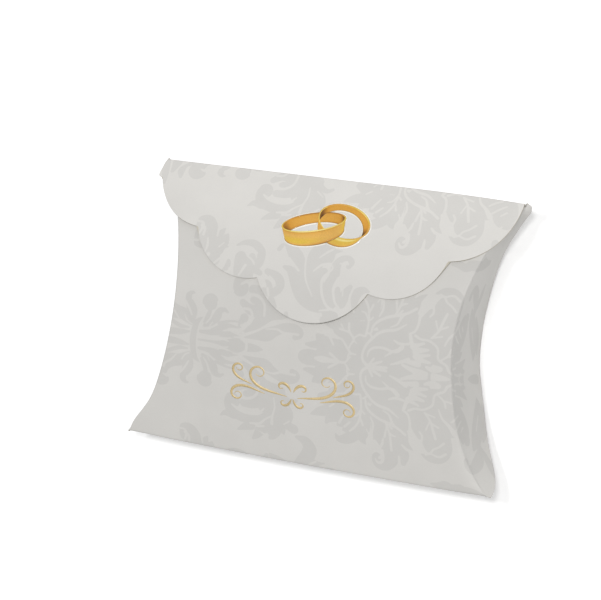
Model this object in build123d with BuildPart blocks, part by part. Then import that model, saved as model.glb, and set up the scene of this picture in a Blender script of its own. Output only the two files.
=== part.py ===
from build123d import *
from math import atan, sin, sqrt
import os

# Pillow box of embossed card for wedding favours, in millimetres. It lies on its bulged back.
# X runs along the straight folds, Y from the bottom fold to the top fold, and Z up, out of the front.
# The origin is on the table, under the middle of the box.

# Sizes of the folded box
box_width = 110.0
box_height = 81.0
box_depth = 26.0

# Card, and the air that folding leaves between its layers
card = 0.4
layer_gap = 0.25
crease_gap = 0.2

# Closure flap: how far it reaches down the front, and its five scallops.
# The cusps stand at shares of half the width, and hang at shares of the flap's length.
flap_length = 41.0
outer_cusp_width_share = 0.695
outer_cusp_drop_share = 0.45
inner_cusp_width_share = 0.307
inner_cusp_drop_share = 0.742
side_scallop_bulge = 5.2

# Glue tab that closes the sleeve inside the top fold
tab_width = 12.0
tab_end_gap = 3.0

# Inner end flap: how far it stands up behind the outer one, as a share of the box's depth
inner_reach_share = 0.6

# Length of each fold's tip where the curved creases run out into the fold
corner_tip = 2.0

# The straight folds lie in one level plane, halfway up the box
bulge = box_depth / 2
half_width = box_width / 2
half_height = box_height / 2
fold_level = bulge
layer_pitch = card + layer_gap


class Bow:
    """Circular bow of a bent panel: where it starts and ends on the fold plane, and its rise."""

    def __init__(self, low_y, high_y, rise):
        half_chord = (high_y - low_y) / 2
        self.rise = rise
        self.middle = (high_y + low_y) / 2
        self.radius = (half_chord ** 2 + rise ** 2) / (2 * rise)
        self.drop = self.radius - rise


# At the top fold the front panel's edge lies inside the flap, so its bow is shorter and lower
fold_angle = 2 * atan(bulge / half_height)
back_bow = Bow(-half_height, half_height, bulge)
front_bow = Bow(-half_height, half_height - layer_pitch / sin(fold_angle), bulge - layer_pitch)

# Cusps of the flap, and the corners of the box, which start level with the outer cusps
flap_tip_y = half_height - flap_length
outer_cusp = (outer_cusp_width_share * half_width, half_height - outer_cusp_drop_share * flap_length)
inner_cusp = (inner_cusp_width_share * half_width, half_height - inner_cusp_drop_share * flap_length)
corner_y = outer_cusp[1]
corner_end_y = half_height - corner_tip


def bowed_section(bow, up, depth):
    """Section of bent card across the folds, above (up = 1) or below (up = -1) the fold plane."""
    with BuildSketch(Plane.YZ) as section:
        with Locations((bow.middle, fold_level - up * bow.drop)):
            Circle(bow.radius - depth)
            Circle(bow.radius - depth - card, mode=Mode.SUBTRACT)
        with Locations((0, fold_level + up * box_height / 2)):
            Rectangle(box_height * 2, box_height, mode=Mode.INTERSECT)
    return section.sketch


def crease_plane(side, up, inset):
    """Plane through a curved crease and the two fold ends, at 45 degrees to panel and end flap."""
    origin = (side * (half_width - inset), 0, fold_level)
    return Plane(origin=origin, x_dir=(0, 1, 0), z_dir=(up, 0, side))


def crease_lens(side, up, bow, inset, free_edge, slot):
    """Outline of an end flap on its crease plane: an elliptic crease above a straight free edge."""
    with BuildSketch(crease_plane(side, up, inset)) as lens:
        with Locations((bow.middle, -sqrt(2) * bow.drop - slot)):
            Ellipse(bow.radius, sqrt(2) * bow.radius)
        with Locations((0, free_edge + box_height / 2)):
            Rectangle(box_height * 2, box_height, mode=Mode.INTERSECT)
    return lens.sketch


def end_sheet(side, up, bow, inset, free_edge, slot):
    """Upright concave sheet that closes one end, cut from its crease to its free edge."""
    with BuildPart() as sheet:
        with BuildSketch(Plane.XY.offset(fold_level)):
            with Locations((side * (half_width - inset + bow.drop), bow.middle)):
                Circle(bow.radius + card)
                Circle(bow.radius, mode=Mode.SUBTRACT)
            with Locations((side * half_width / 2, 0)):
                Rectangle(half_width, box_height, mode=Mode.INTERSECT)
        extrude(amount=box_depth, both=True)
        extrude(crease_lens(side, up, bow, inset, free_edge, slot), amount=box_depth, both=True,
                mode=Mode.INTERSECT)
    return sheet.part


def end_slab(half_length):
    """Slab across the whole box, half_length either way from its middle."""
    with BuildPart() as slab:
        with BuildSketch(Plane.XZ):
            with Locations((0, fold_level)):
                Rectangle(box_width * 2, box_depth * 2)
        extrude(amount=half_length, both=True)
    return slab.part


def outer_sheet(side, slot):
    """Outer end flap with its corners, from the front crease down to the back crease."""
    return end_sheet(side, 1, front_bow, 0, 0, slot)


def inner_sheet(side, slot):
    """Inner end flap with its corners, from the back crease up behind the outer flap."""
    reach = inner_reach_share * box_depth
    free_edge = (box_depth - reach) / sqrt(2)
    return end_sheet(side, -1, back_bow, layer_pitch, free_edge, slot)


middle_slab = end_slab(corner_y)
flap_slab = end_slab(corner_y - layer_gap)
tip_slab = end_slab(corner_end_y)

# Front panel: bent sheet between the two front creases, with the four corners of the end flaps,
# which stay where they are when the flap between them is pulled open
with BuildPart() as front_panel:
    extrude(bowed_section(front_bow, 1, 0), amount=half_width, both=True)
    for side in (1, -1):
        extrude(crease_lens(side, 1, front_bow, 0, 0, 0), amount=box_depth, both=True,
                mode=Mode.SUBTRACT)
    for side in (1, -1):
        add((outer_sheet(side, 0) - middle_slab) & tip_slab)
front_panel.part.label = "front_panel"

# Back panel: the same sheet the other way up, whose creases lie one layer further in
with BuildPart() as back_panel:
    extrude(bowed_section(back_bow, -1, 0), amount=half_width - layer_pitch, both=True)
    for side in (1, -1):
        extrude(crease_lens(side, -1, back_bow, layer_pitch, 0, 0), amount=box_depth, both=True,
                mode=Mode.SUBTRACT)
    for side in (1, -1):
        add((inner_sheet(side, 0) - middle_slab) & tip_slab)
back_panel.part.label = "back_panel"

# Glue tab: strip with slanted ends, behind the front panel's top edge, on the inside of the back
with BuildPart() as glue_tab:
    extrude(bowed_section(back_bow, -1, layer_pitch), amount=half_width, both=True)
    with BuildSketch(Plane.XY) as tab_plan:
        with BuildLine():
            tab_half = half_width - tab_end_gap
            Polyline(
                (-tab_half, half_height),
                (tab_half, half_height),
                (tab_half - tab_width, half_height - tab_width),
                (tab_width - tab_half, half_height - tab_width),
                close=True,
            )
        make_face()
    extrude(amount=box_depth, mode=Mode.INTERSECT)
glue_tab.part.label = "glue_tab"

# Closure flap: bent sheet over the front, hinged on the top fold, with five scallops
with BuildPart() as closure_flap:
    extrude(bowed_section(back_bow, 1, 0), amount=half_width, both=True)
    with BuildSketch(Plane.XY) as flap_plan:
        with BuildLine():
            Line((0, half_height + card), (half_width, half_height + card))
            Line((half_width, half_height + card), (half_width, half_height))
            TangentArc((half_width, half_height), outer_cusp, tangent=(0, -1))
            SagittaArc(outer_cusp, inner_cusp, side_scallop_bulge)
            ThreePointArc(inner_cusp, (0, flap_tip_y), (-inner_cusp[0], inner_cusp[1]))
            SagittaArc((-inner_cusp[0], inner_cusp[1]), (-outer_cusp[0], outer_cusp[1]), side_scallop_bulge)
            TangentArc((-half_width, half_height), (-outer_cusp[0], outer_cusp[1]), tangent=(0, -1))
            Line((-half_width, half_height), (-half_width, half_height + card))
            Line((-half_width, half_height + card), (0, half_height + card))
        make_face()
    extrude(amount=box_depth, mode=Mode.INTERSECT)
closure_flap.part.label = "closure_flap"

# End flaps: the middle of each sheet, free to turn on its crease between the corners
end_flaps = []
for side_name, side in (("right", 1), ("left", -1)):
    with BuildPart() as outer_end_flap:
        add(outer_sheet(side, crease_gap))
        add(flap_slab, mode=Mode.INTERSECT)
    outer_end_flap.part.label = f"{side_name}_outer_end_flap"
    with BuildPart() as inner_end_flap:
        add(inner_sheet(side, crease_gap))
        add(flap_slab, mode=Mode.INTERSECT)
    inner_end_flap.part.label = f"{side_name}_inner_end_flap"
    end_flaps += [outer_end_flap, inner_end_flap]

os.makedirs("parts", exist_ok=True)
for piece in [front_panel, back_panel, glue_tab, closure_flap, *end_flaps]:
    export_step(piece.part, f"parts/{piece.part.label}.step")
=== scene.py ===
import math

import bpy
import numpy as np
from mathutils import Matrix, Vector


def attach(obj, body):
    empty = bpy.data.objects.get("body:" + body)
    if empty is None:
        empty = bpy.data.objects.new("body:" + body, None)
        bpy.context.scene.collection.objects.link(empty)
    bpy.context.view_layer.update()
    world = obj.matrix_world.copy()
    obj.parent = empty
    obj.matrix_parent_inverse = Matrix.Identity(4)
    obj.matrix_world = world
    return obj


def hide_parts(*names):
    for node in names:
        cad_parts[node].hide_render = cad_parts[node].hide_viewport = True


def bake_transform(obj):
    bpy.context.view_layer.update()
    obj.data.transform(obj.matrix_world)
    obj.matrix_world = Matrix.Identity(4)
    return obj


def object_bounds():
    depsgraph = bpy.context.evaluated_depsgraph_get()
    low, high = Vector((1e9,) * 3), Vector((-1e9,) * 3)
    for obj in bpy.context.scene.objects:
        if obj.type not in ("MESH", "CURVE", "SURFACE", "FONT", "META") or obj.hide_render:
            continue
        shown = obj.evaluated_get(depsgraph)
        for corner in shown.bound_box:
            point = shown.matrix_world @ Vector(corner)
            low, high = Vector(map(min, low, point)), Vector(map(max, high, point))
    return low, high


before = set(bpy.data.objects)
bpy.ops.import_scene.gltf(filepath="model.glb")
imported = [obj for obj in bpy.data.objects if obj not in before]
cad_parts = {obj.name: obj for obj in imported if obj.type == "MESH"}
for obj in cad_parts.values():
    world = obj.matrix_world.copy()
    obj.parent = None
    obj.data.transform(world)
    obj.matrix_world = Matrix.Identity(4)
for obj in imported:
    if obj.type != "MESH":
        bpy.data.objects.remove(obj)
cad_low, cad_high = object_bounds()

bl_info = {
    "name": "Pillow Box",
    "version": (1, 0, 0),
    "blender": (4, 5, 0),
    "location": "3D View > Sidebar > Pillow Box",
    "description": "Dresses a folded card favour box: bent sheets, damask print, gold foil and stage",
    "category": "Add Mesh",
}

MM = 0.001
MATERIALS = {}

# Kinds of a sheet's faces, and their materials in that order
PRINTED_FACE, INSIDE, CUT_EDGE = range(3)
CARD_MATERIALS = ("printed card", "plain inside", "cut edge")

# Mesh: cells round a straight fold, round a curved crease and across the front; rows and columns of the
# other sheets; how much longer the back's cells are than the front's; and how many cells of a printed face
# one cell of its inside covers
ROLL_CELLS = 8
ROUND_CELLS = 12
FRONT_CELLS = 256
BACK_COLUMNS = 241
FLAP_GRID = (141, 481)
OUTER_GRID = (61, 271)
INNER_GRID = (31, 61)
BACK_CELL_SHARE = 1.3
INSIDE_STEP = 10
FLAP_INSIDE_STEP = 8

# Damask: its mirror line and half its repeat, in mm on the flat card, where the flap and the back lie on
# it, and a place far off its strokes, in metres, for a sheet without print
MIRROR = -10.0
HALF_REPEAT = 55.13
FLAP_PLACE = -62.5
BACK_PLACE = -86.4
BLANK_PLACE = -1.0

# Tones that the card's colours are multiplied by: painted shade on the end flaps; on the front and the
# flap, with what those two gain towards their straight fold, as painted shade under the flap that lessens
# down the front and painted light that grows up the flap; the painted light at the front's left end and the
# painted highlight at the right ear; the share left where the front rolls into the bottom fold, darker
# there, and the rows over which it comes back; and the painted shade along a crease
END_SHADE = 0.857
FRONT_TONE = 0.875
FRONT_GAIN = 0.095
FLAP_TONE = 0.91
FLAP_GAIN = 0.18
LEFT_LIGHT = 0.025
EAR_HIGHLIGHT = 0.1
ROLL_TONE = 0.86
ROLL_TONE_ROWS = 5
CREASE_SHADE = 0.05

# Changes over the card, each as (where it starts, how far it runs) in mm from the middle of the box.
# Downwards: the front's painted shade, the painted shade along a crease, the crease that fades out, and the
# flap's lift
FRONT_TONE_RUN = (2, 40)
CREASE_SHADE_RUN = (24, 11)
SOFT_CREASE_RUN = (20, 14)
LIFT_RUN = (-9, 11)
# Upwards: the flap's painted light, the front's tuck into the top fold, and the ear's painted highlight
FLAP_TONE_RUN = (0, 48)
TUCK_RUN = (27, 12.4)
EAR_HIGHLIGHT_RUN = (38.9, 1.1)
# To the left: the front's painted light, and the shape of the flap's side
LEFT_LIGHT_RUN = (25, 20)
FLAP_SIDE_RUN = (50, 5)
# From the top fold downwards: the flap's settling
SETTLE_RUN = (0, 12)

# Where a bow passes into its fold's round, as a share of the fold's radius short of the fold
FOLD_START_SHARE = 0.75

# Front: how far its edge tucks in at the top fold and how far short of the fold it ends, in mm, and the
# share of its height that is left at least
TUCK = 0.85
FRONT_END_GAP = 1.12
LEAST_HEIGHT_SHARE = 0.1

# Soft crease: how high the end stands as a share of the half height, the least height in mm, and the
# round's drop, as a share of that height and at most in mm
END_HEIGHT_SHARE = 0.32
LEAST_END_HEIGHT = 0.1
DROP_SHARE = 0.55
GREATEST_DROP = 1.2

# Closure flap: its cusps, as shares of the half width and of the flap's length, and the nick in its left
# edge: where it starts, its height there, and its slope
OUTER_CUSP = (0.695, 0.45)
INNER_CUSP = (0.307, 0.742)
NICK_X = 54
NICK_Y = 34.8
NICK_SLOPE = 0.5

# Where the flap stands off, in mm: how far it settles, half the width of the middle lift, and the other
# lifts as (x, y, share of the middle one) with their spread
SETTLE = 0.15
LIFT_HALF_WIDTH = 24
SIDE_LIFTS = ((-47, 22, 1.2), (40, 21, 0.6))
SIDE_LIFT_SPREAD = 8

# Inner end flaps, in mm: half the middle that turns, each fixed corner, the gap under the front, the least
# height, and the reach up as a share of the box's depth
INNER_MIDDLE = 21.8
INNER_CORNER = (22.1, 38.5)
INNER_TOP_GAP = 1.2
LEAST_INNER_HEIGHT = 0.6
INNER_REACH_SHARE = 0.6

# Least height of a face, in mm, where an end or the flap runs out
LEAST_FACE = 0.05

# Outer end flaps: their columns lie part evenly and part crowded towards the folds; they end short of the
# fold and above the back's layer, in mm; the flare grows with a power of the depth; and their first rows
# lap in under the crease's round, as (turn in degrees, depth below the round in mm)
COLUMN_SHARES = (0.55, 0.45)
END_GAP = 0.1
LAYER_GAP = 0.25
FLARE_POWER = 1.2
LAP_ROWS = ((66, 0.06), (76, 0.05), (84, 0.03))

# Hand-folded card, in mm: how far a crease stands out at y, by its side
CREASE_STAND = {
    1: ((-40.5, -.1), (-38, -.8), (-35.6, -.9), (-31, -.7), (-27.7, -.45), (-24.7, -.1), (-20, .3),
        (-15, .75), (-10, .95), (-5, .85), (0, .75), (10, .8), (18, .7), (25, .4), (33, .1), (40.5, 0)),
    -1: ((-40.5, 2.1), (-39, 2.4), (-36.8, 2.5), (-34.4, 1.8), (-31.6, .95), (-28.9, .4), (-25, .2),
         (-18, .3), (-8, .45), (6, .55), (24, .55), (32, .7), (38, 1), (40.5, 1)),
}
# The same for the outer end flaps' free edges
FREE_STAND = {
    1: ((-40.5, .9), (-39.8, 1.7), (-39, 2.4), (-38, 3), (-37, 3.4), (-35.5, 3.75), (-33, 3.85),
        (-29.8, 3.55), (-25.5, 3.25), (-17.7, 2.85), (-12.2, 2.15), (-6.7, 1.3), (-2.7, 1), (1.2, .9),
        (5.3, .75), (9.1, .75), (13.6, .7), (17.8, .65), (22, .5), (25.7, .55), (28.9, .85), (31.6, 1.3),
        (35, 1.75), (36.8, 2), (38, 2.35), (38.9, 2.6), (39.6, 2.2), (40.1, 1), (40.5, -.3)),
    -1: ((-40.5, 2.6), (-37, 3.2), (-33, 2.4), (-28, 1), (-20, .6), (0, .6), (24, .6), (31, 1.2), (36, 2.6),
         (38.5, 2.4), (40.5, 1.2)),
}
# And for the left edge of the closure flap
FLAP_SIDE = ((20, 0), (28, .1), (31, .28), (34.7, .28), (35, .6), (35.5, .82), (36.2, .85), (37, .75),
             (37.8, .62), (38.6, .55), (39.4, .45), (40, .2), (40.5, -.1))
# How far the two straight folds bow out, by the share of the width from the left
TOP_BOW = ((0, 0), (.12, .12), (.25, .28), (.4, .44), (.55, .58), (.7, .76), (.8, .8), (.9, .7), (1, .42))
BOTTOM_BOW = ((0, .2), (.1, .62), (.25, .9), (.4, 1.1), (.55, 1.23), (.75, 1.25), (.9, 1.2), (1, .95))
# A table is averaged over its neighbourhood: this many places within so many mm, or this share of the width
AVERAGE_PLACES = 13
AVERAGE_REACH = 1.5
AVERAGE_REACH_SHARE = 0.03

# Damask strokes, in mm on the flat card, below the mirror line: x, y and radius at each point of a stroke
LEAVES = (
    # left rosette: crescent, fan to the left, spears to the right
    (-35.3, -10, 1, -35, -13, .9, -34.3, -15.2, .75, -32.8, -16.6, .15),
    (-36.6, -11.9, .3, -39.5, -11.5, .85, -43, -11.3, 1, -47, -11.2, .8, -50, -11, .2),
    (-36.8, -13.1, .25, -39.5, -13.2, .6, -42.6, -14.4, .6, -46, -15.6, .7, -49, -16.5, .2),
    (-36.2, -14.2, .4, -38.5, -16.5, 1.7, -41.5, -18, 1.2, -43.2, -19.8, .7, -43.6, -21.3, .4),
    (-40, -15.3, .3, -43, -16.3, .9, -46.5, -18.6, 1.3, -49.5, -21.5, .3),
    (-36, -15, .8, -36.3, -18, 1.6, -37.5, -20.5, 1.2, -38, -22.2, .9, -37, -23.2, .5, -36.2, -23.1, .2),
    (-33.5, -10, .3, -28, -10, .45, -23.8, -10, 1.5, -21.3, -10, 2, -19.5, -10, 1),
    (-33.2, -12.4, .45, -30, -12.6, .8, -26.5, -13.2, 1.5, -23.5, -12.8, .8, -20.8, -12.4, .4),
    (-29.5, -13.6, .3, -26, -15, .7, -23.5, -15.3, .5, -21.3, -15.1, .2),
    (-27.5, -15.6, .5, -24.5, -16.6, .35, -21.3, -16.9, .25),
    (-32, -14.3, .5, -30, -15.5, 1, -28.4, -17.3, 1.3, -27.8, -19, 1, -26.3, -19.6, .6, -25.1, -19, .3),
    (-32.2, -15.3, .4, -31, -17.5, .8, -30.5, -19.5, .8, -31, -21.2, 2.5),
    (-43.9, -21, .5, -45.7, -20.6, 1.4, -46.5, -22.4, 1.6, -45.2, -23.6, 1.8, -43.5, -23.6, 1,
     -42.8, -22.8, .3), (-49.3, -20.8, .4, -50.2, -23, 1.1, -49.8, -25.2, .5),
    (-52.5, -20.5, 1.5, -53, -23.6, .6), (-56, -20, 1.2, -55, -24.5, 1.1, -54.2, -27.8, .5),
    # palm and long scroll
    (-18, -10, 1.3, -15.5, -10, 1, -13.2, -10, .15),
    (-19, -13, .5, -15.5, -13.6, 1.1, -12.5, -14.4, 1.9, -10, -15.8, 1.5, -7, -17.2, 1.35, -4.5, -17.2, 1.5,
     -2.9, -16.2, 1.6, -3.8, -14.9, .8),
    (-20.7, -13.9, .3, -19, -14.6, .5, -16, -17, 1.6, -13.5, -18.8, 1.6, -10, -20.3, 1.5, -7, -21.3, 1.4),
    (-21, -15.6, .6, -20.6, -17.3, .9, -19.6, -18.6, .8), (-19.9, -18.2, 1.3),
    # rose: left curl, bowl, core and lobes
    (-22.3, -26.4, 2.4, -23.4, -28, 1.4, -22.3, -29.8, 1.5, -19, -31.2, 1.5, -14, -31.2, 1.5,
     -10.5, -29.5, 1.8), (-22, -31, 1.2, -24.4, -30.6, .9, -26.1, -31.7, .25),
    (-21, -22.5, 1, -18.3, -20.8, 1.5, -15, -20.8, 2.2, -11.5, -22, 2.4, -8, -22.4, 1.9, -5.5, -23.4, 1,
     -3.6, -24, .7, -2.2, -23.3, .5),
    (-18.5, -26.6, 1.3, -15.5, -26.2, 1.6, -13.5, -25, 1.4, -18, -23.7, .9, -15, -23.6, 1.4),
    (-12, -26.5, 2.2, -8.5, -26.3, 2.8, -6.3, -28, 3.2, -8.5, -30, 3.2),
    (-16.5, -33.4, 1.3, -18.5, -34, 1.1, -20.7, -35.2, .3),
    (-13.5, -34.2, 1.6, -15, -36.2, 1, -16.2, -37.4, .3),
    (-9.2, -32.8, 2.6, -9.8, -35.2, 1.3, -10.8, -36.4, .4),
    (-12, -33, 1.8, -7.2, -32.6, 1.2, -6.2, -34.2, .3), (-5.3, -31.2, 1.2, -3.1, -32.1, 1.5),
    # tulip on its long stem
    (-2.3, -34.4, .5, .3, -35.2, 1.5, 1.7, -37.6, 2.1, .5, -40.4, 2.2, -1.2, -43.3, 2.4, -1.5, -46.5, 2.6,
     -.6, -50.4, 2.7, .5, -54, 2.6, 1.5, -56.6, 2),
    (-10.8, -41.8, .7, -8.2, -43.8, 1.9, -6.2, -46, 1.9, -4.6, -49, 1.4, -3, -52.5, 1.2),
    (-10.2, -48.2, .5, -8, -49, 1.2, -5.6, -52, 2, -3, -55, 2.6, 0, -57, 2.4, 3, -58.2, 1.4,
     4.6, -57.6, .4), (6, -41.4, .2, 4, -41.8, .7, 2.6, -42.4, 1.6, 2.2, -44, 1.8, .6, -45.4, 1),
    (8.9, -45.5, .8, 9.5, -44.2, .9, 8.3, -43.2, .8, 6.3, -43.8, 1, 5.2, -46, 1.4, 5.2, -49, 1.5,
     3.9, -52, 1.4, 4.6, -55, 1.4, 6.3, -57, 1), (10.6, -51.2, .7, 9.6, -53.4, 1.5, 8.6, -56, 1.7),
    (7, -52.4, .8, 7.2, -54.6, 1.1),
    (16.4, -51.8, .3, 14.6, -51.6, 1, 12.8, -53, 1.5, 12.4, -56, 1.2, 13.5, -58.5, 1, 16, -60, 1.2),
    (5, -59.4, 1.3, 7.8, -60, .9, 4.2, -61.4, .9, 6, -62.6, .5), (-12.2, -58.2, 1.1, -10.6, -59.8, .5),
    (-7, -61.2, .6, -6.4, -63.5, .9), (.2, -48.6, 1.2, 2, -47.9, 1.05),
    # left bud, C scroll and leaf on the flap
    (-15, -50.2, .9, -11.7, -51.6, 1.5, -10.4, -53.8, 1.4, -12, -56, 1.2, -15, -56, 1.2),
    (-25.9, -43.9, .3, -23.5, -42.8, .8, -20.5, -42.9, 1.1, -18.1, -45, 1.3, -17.9, -48, 1.2, -19, -50, 1,
     -17.2, -51, .8), (-24, -47.3, 1.8, -22.6, -50, 3, -22, -53, 3), (-20.6, -46.6, 1, -19.4, -47.8, .5),
    (-27.4, -48.8, .6, -27.6, -50.6, .9, -28.8, -51.8, .3), (-27, -54, 1.6, -24, -56.5, 1.6),
    (-39.4, -38.8, .5, -38.6, -37.4, .8, -36.2, -37.9, 1.6, -34.8, -41, 2.2, -34.6, -44.5, 2.7,
     -33, -47.5, 2.5, -31.6, -49.3, 1.3), (-37, -42, 1.7, -36.8, -45, .9),
    (-32.6, -42.8, 1, -31.6, -40.8, .9, -30.9, -39.7, .3), (-31.8, -43.6, 1.4, -30.3, -42, .7),
    (-31.6, -46.4, 1.8, -29.9, -45.2, .6, -28.6, -44.7, .2),
    (-38, -47, 1.6, -36, -50.5, 1.6, -33.5, -52.5, 1.2, -31, -54, .6),
    (-12.9, -43.3, .7, -12.3, -42.2, .6, -11.9, -41.7, .3),
    (-15.2, -52.7, .15, -14.3, -53.2, .6, -13.6, -54.2, .9, -13.2, -55.6, .8),
    # bottom curls
    (-38.6, -41, 1.2, -39, -39.6, .9, -37.9, -38.2, .9), (-20, -42.5, .4),
    (-29.6, -41.4, .5, -30.1, -43.4, 1.5),
    (38.4, -41.7, .3, 40.6, -41.9, 1, 42.7, -41.3, 1.2, 44.4, -42.3, 1.5, 47, -42, 1.6),
    (49, -44, 1.2, 52, -43.6, .7), (46, -42.5, 1.3, 50, -42.6, 1.6, 54, -43.5, 1),
    # great rosette: body, tips to the left
    (-.3, -10, 2.05, 4, -11, 2.3, 8, -12, 3.2), (-.2, -13.6, .4, 3, -13.7, 1.4, 6, -14, 2.2),
    (2.7, -16.7, .4, 4.4, -15.6, 1.5, 7.5, -14.8, 2.2), (10, -13, 3.4, 13, -13, 3.6),
    (14, -14.5, 5.2, 19, -14.5, 5.6, 26, -14.5, 6.4, 34, -14, 7, 40, -14.5, 6, 43.5, -14, 4),
    (8.8, -18.9, 1.4, 12, -18.4, 2.2, 16, -20, 2.4), (10, -17.7, .9),
    (5.4, -20.8, 1.2, 8, -21.2, 2.4, 12, -22, 3),
    (2.4, -26.4, .3, 5.2, -25.2, 1.4, 9, -24.4, 1.9, 13, -24, 2.5),
    (7, -28.3, .4, 8.1, -26.8, 1.2, 11, -25.6, 1.8), (10.6, -28.4, .4, 12.5, -27, 1.8, 15.5, -25, 2.4),
    (12.3, -29.6, .4, 14.4, -28.6, 1.8, 16.5, -26, 2.4),
    (9.9, -31.3, .3, 10.8, -32.6, .9, 13, -32.3, 1.55, 15.2, -30.9, 1.8, 16.6, -28.6, 2.2),
    (19, -32.9, .2, 17.9, -31.2, 1.2, 18.3, -28.4, 2, 18.3, -24, 2, 18, -21, 1.5),
    # hanging acanthus with its curl
    (19.5, -22, 1, 22.4, -25.5, 1.9, 23.6, -28.6, 2.6, 26.2, -31.6, 3, 26.6, -35.4, 2.6, 25, -38, 2,
     22.9, -38.3, 1.5, 21.7, -37, 1, 22.1, -35.6, .8, 23, -35.4, .4), (21.6, -30.8, .3, 22.3, -29, 1),
    (22.5, -22, 2.2, 27, -24, 2.9, 29, -28, 2.7, 30.6, -30.6, 1.5, 33.2, -32.3, .2),
    (29.3, -31.5, 1.7, 30.7, -34.2, 1.4, 30.3, -36.8, .8), (26.5, -21, 2.5, 30.5, -24.2, 2.6),
    # right leaf with its curl
    (33.6, -22, 2.3, 34.6, -25, 1.9, 35.4, -27.6, 1), (36.5, -21.5, 2.5, 39.5, -22.6, 3.2, 41.5, -25, 2.9),
    (38.6, -27, 3.2, 38.6, -29.8, 2.2, 38.8, -31.3, 1.2),
    (42.2, -27.6, 2.4, 42.6, -30.6, 2.3, 41, -33, 2, 38.2, -33.8, 1.1, 35.8, -33, .25),
    (43.2, -25.6, 1.4, 45.6, -25.9, .4), (42, -19.6, 2.2, 43.6, -21.4, 1.6, 46, -23.6, 1, 47.5, -26, .3),
    # beyond the right crease: lobes, a veined leaf, a long leaf, a curl and an edge leaf
    (44, -10, 2.2, 48, -10, 1.9, 52, -10.6, 1.4), (44, -12, 1.8, 50, -13.2, 1.5, 54.5, -15.5, .3),
    (45, -15.4, 1.7, 48.5, -16, 1.5, 51.2, -17.2, .5), (51, -12, 1.2, 54, -12.3, .4),
    (44.6, -16.5, 1.2, 47.5, -18.6, 2, 50.3, -21.3, 2.2, 51.4, -24.3, 1.9, 50.6, -26.8, 1.2),
    (44.8, -20.2, 1.3, 47, -22.9, 1.9, 48.3, -25.8, 1.5, 49, -27.6, .6),
    (52.8, -26.6, .3, 51.6, -27.7, .8, 50.2, -28.2, .3),
    (61.6, -15.2, .3, 61.5, -18.6, 2.2, 59.2, -22.5, 2.6, 56.2, -26.5, 2.2, 53.8, -29.6, .5),
    (64.6, -17, .4, 63.8, -20.5, 1.5, 61.6, -24.5, 1.3, 59.4, -27.4, .3),
    (57.3, -28.5, .3, 56.4, -30.5, 1.3, 54, -33.4, 1.9, 51.2, -35.4, 1.4, 49.4, -34.4, .9, 49.2, -32.9, 1),
    (57.4, -29, .3, 58, -31, .9, 58.4, -33.2, 1.2, 58.5, -35.2, 1, 58.5, -37, .4),
    (57, -10, .3, 60, -10, 1.2, 64, -10, 1.4),
    # beyond the left crease, plainer
    (-52, -10, .3, -56, -10, 1.2, -62, -10, 1.6, -66, -10, .3),
    (-54, -14.5, .3, -60, -16, 1.4, -65, -19, 1.5), (-58, -26, 1.6, -61, -30, 1.8, -64, -28, 1),
)

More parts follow.
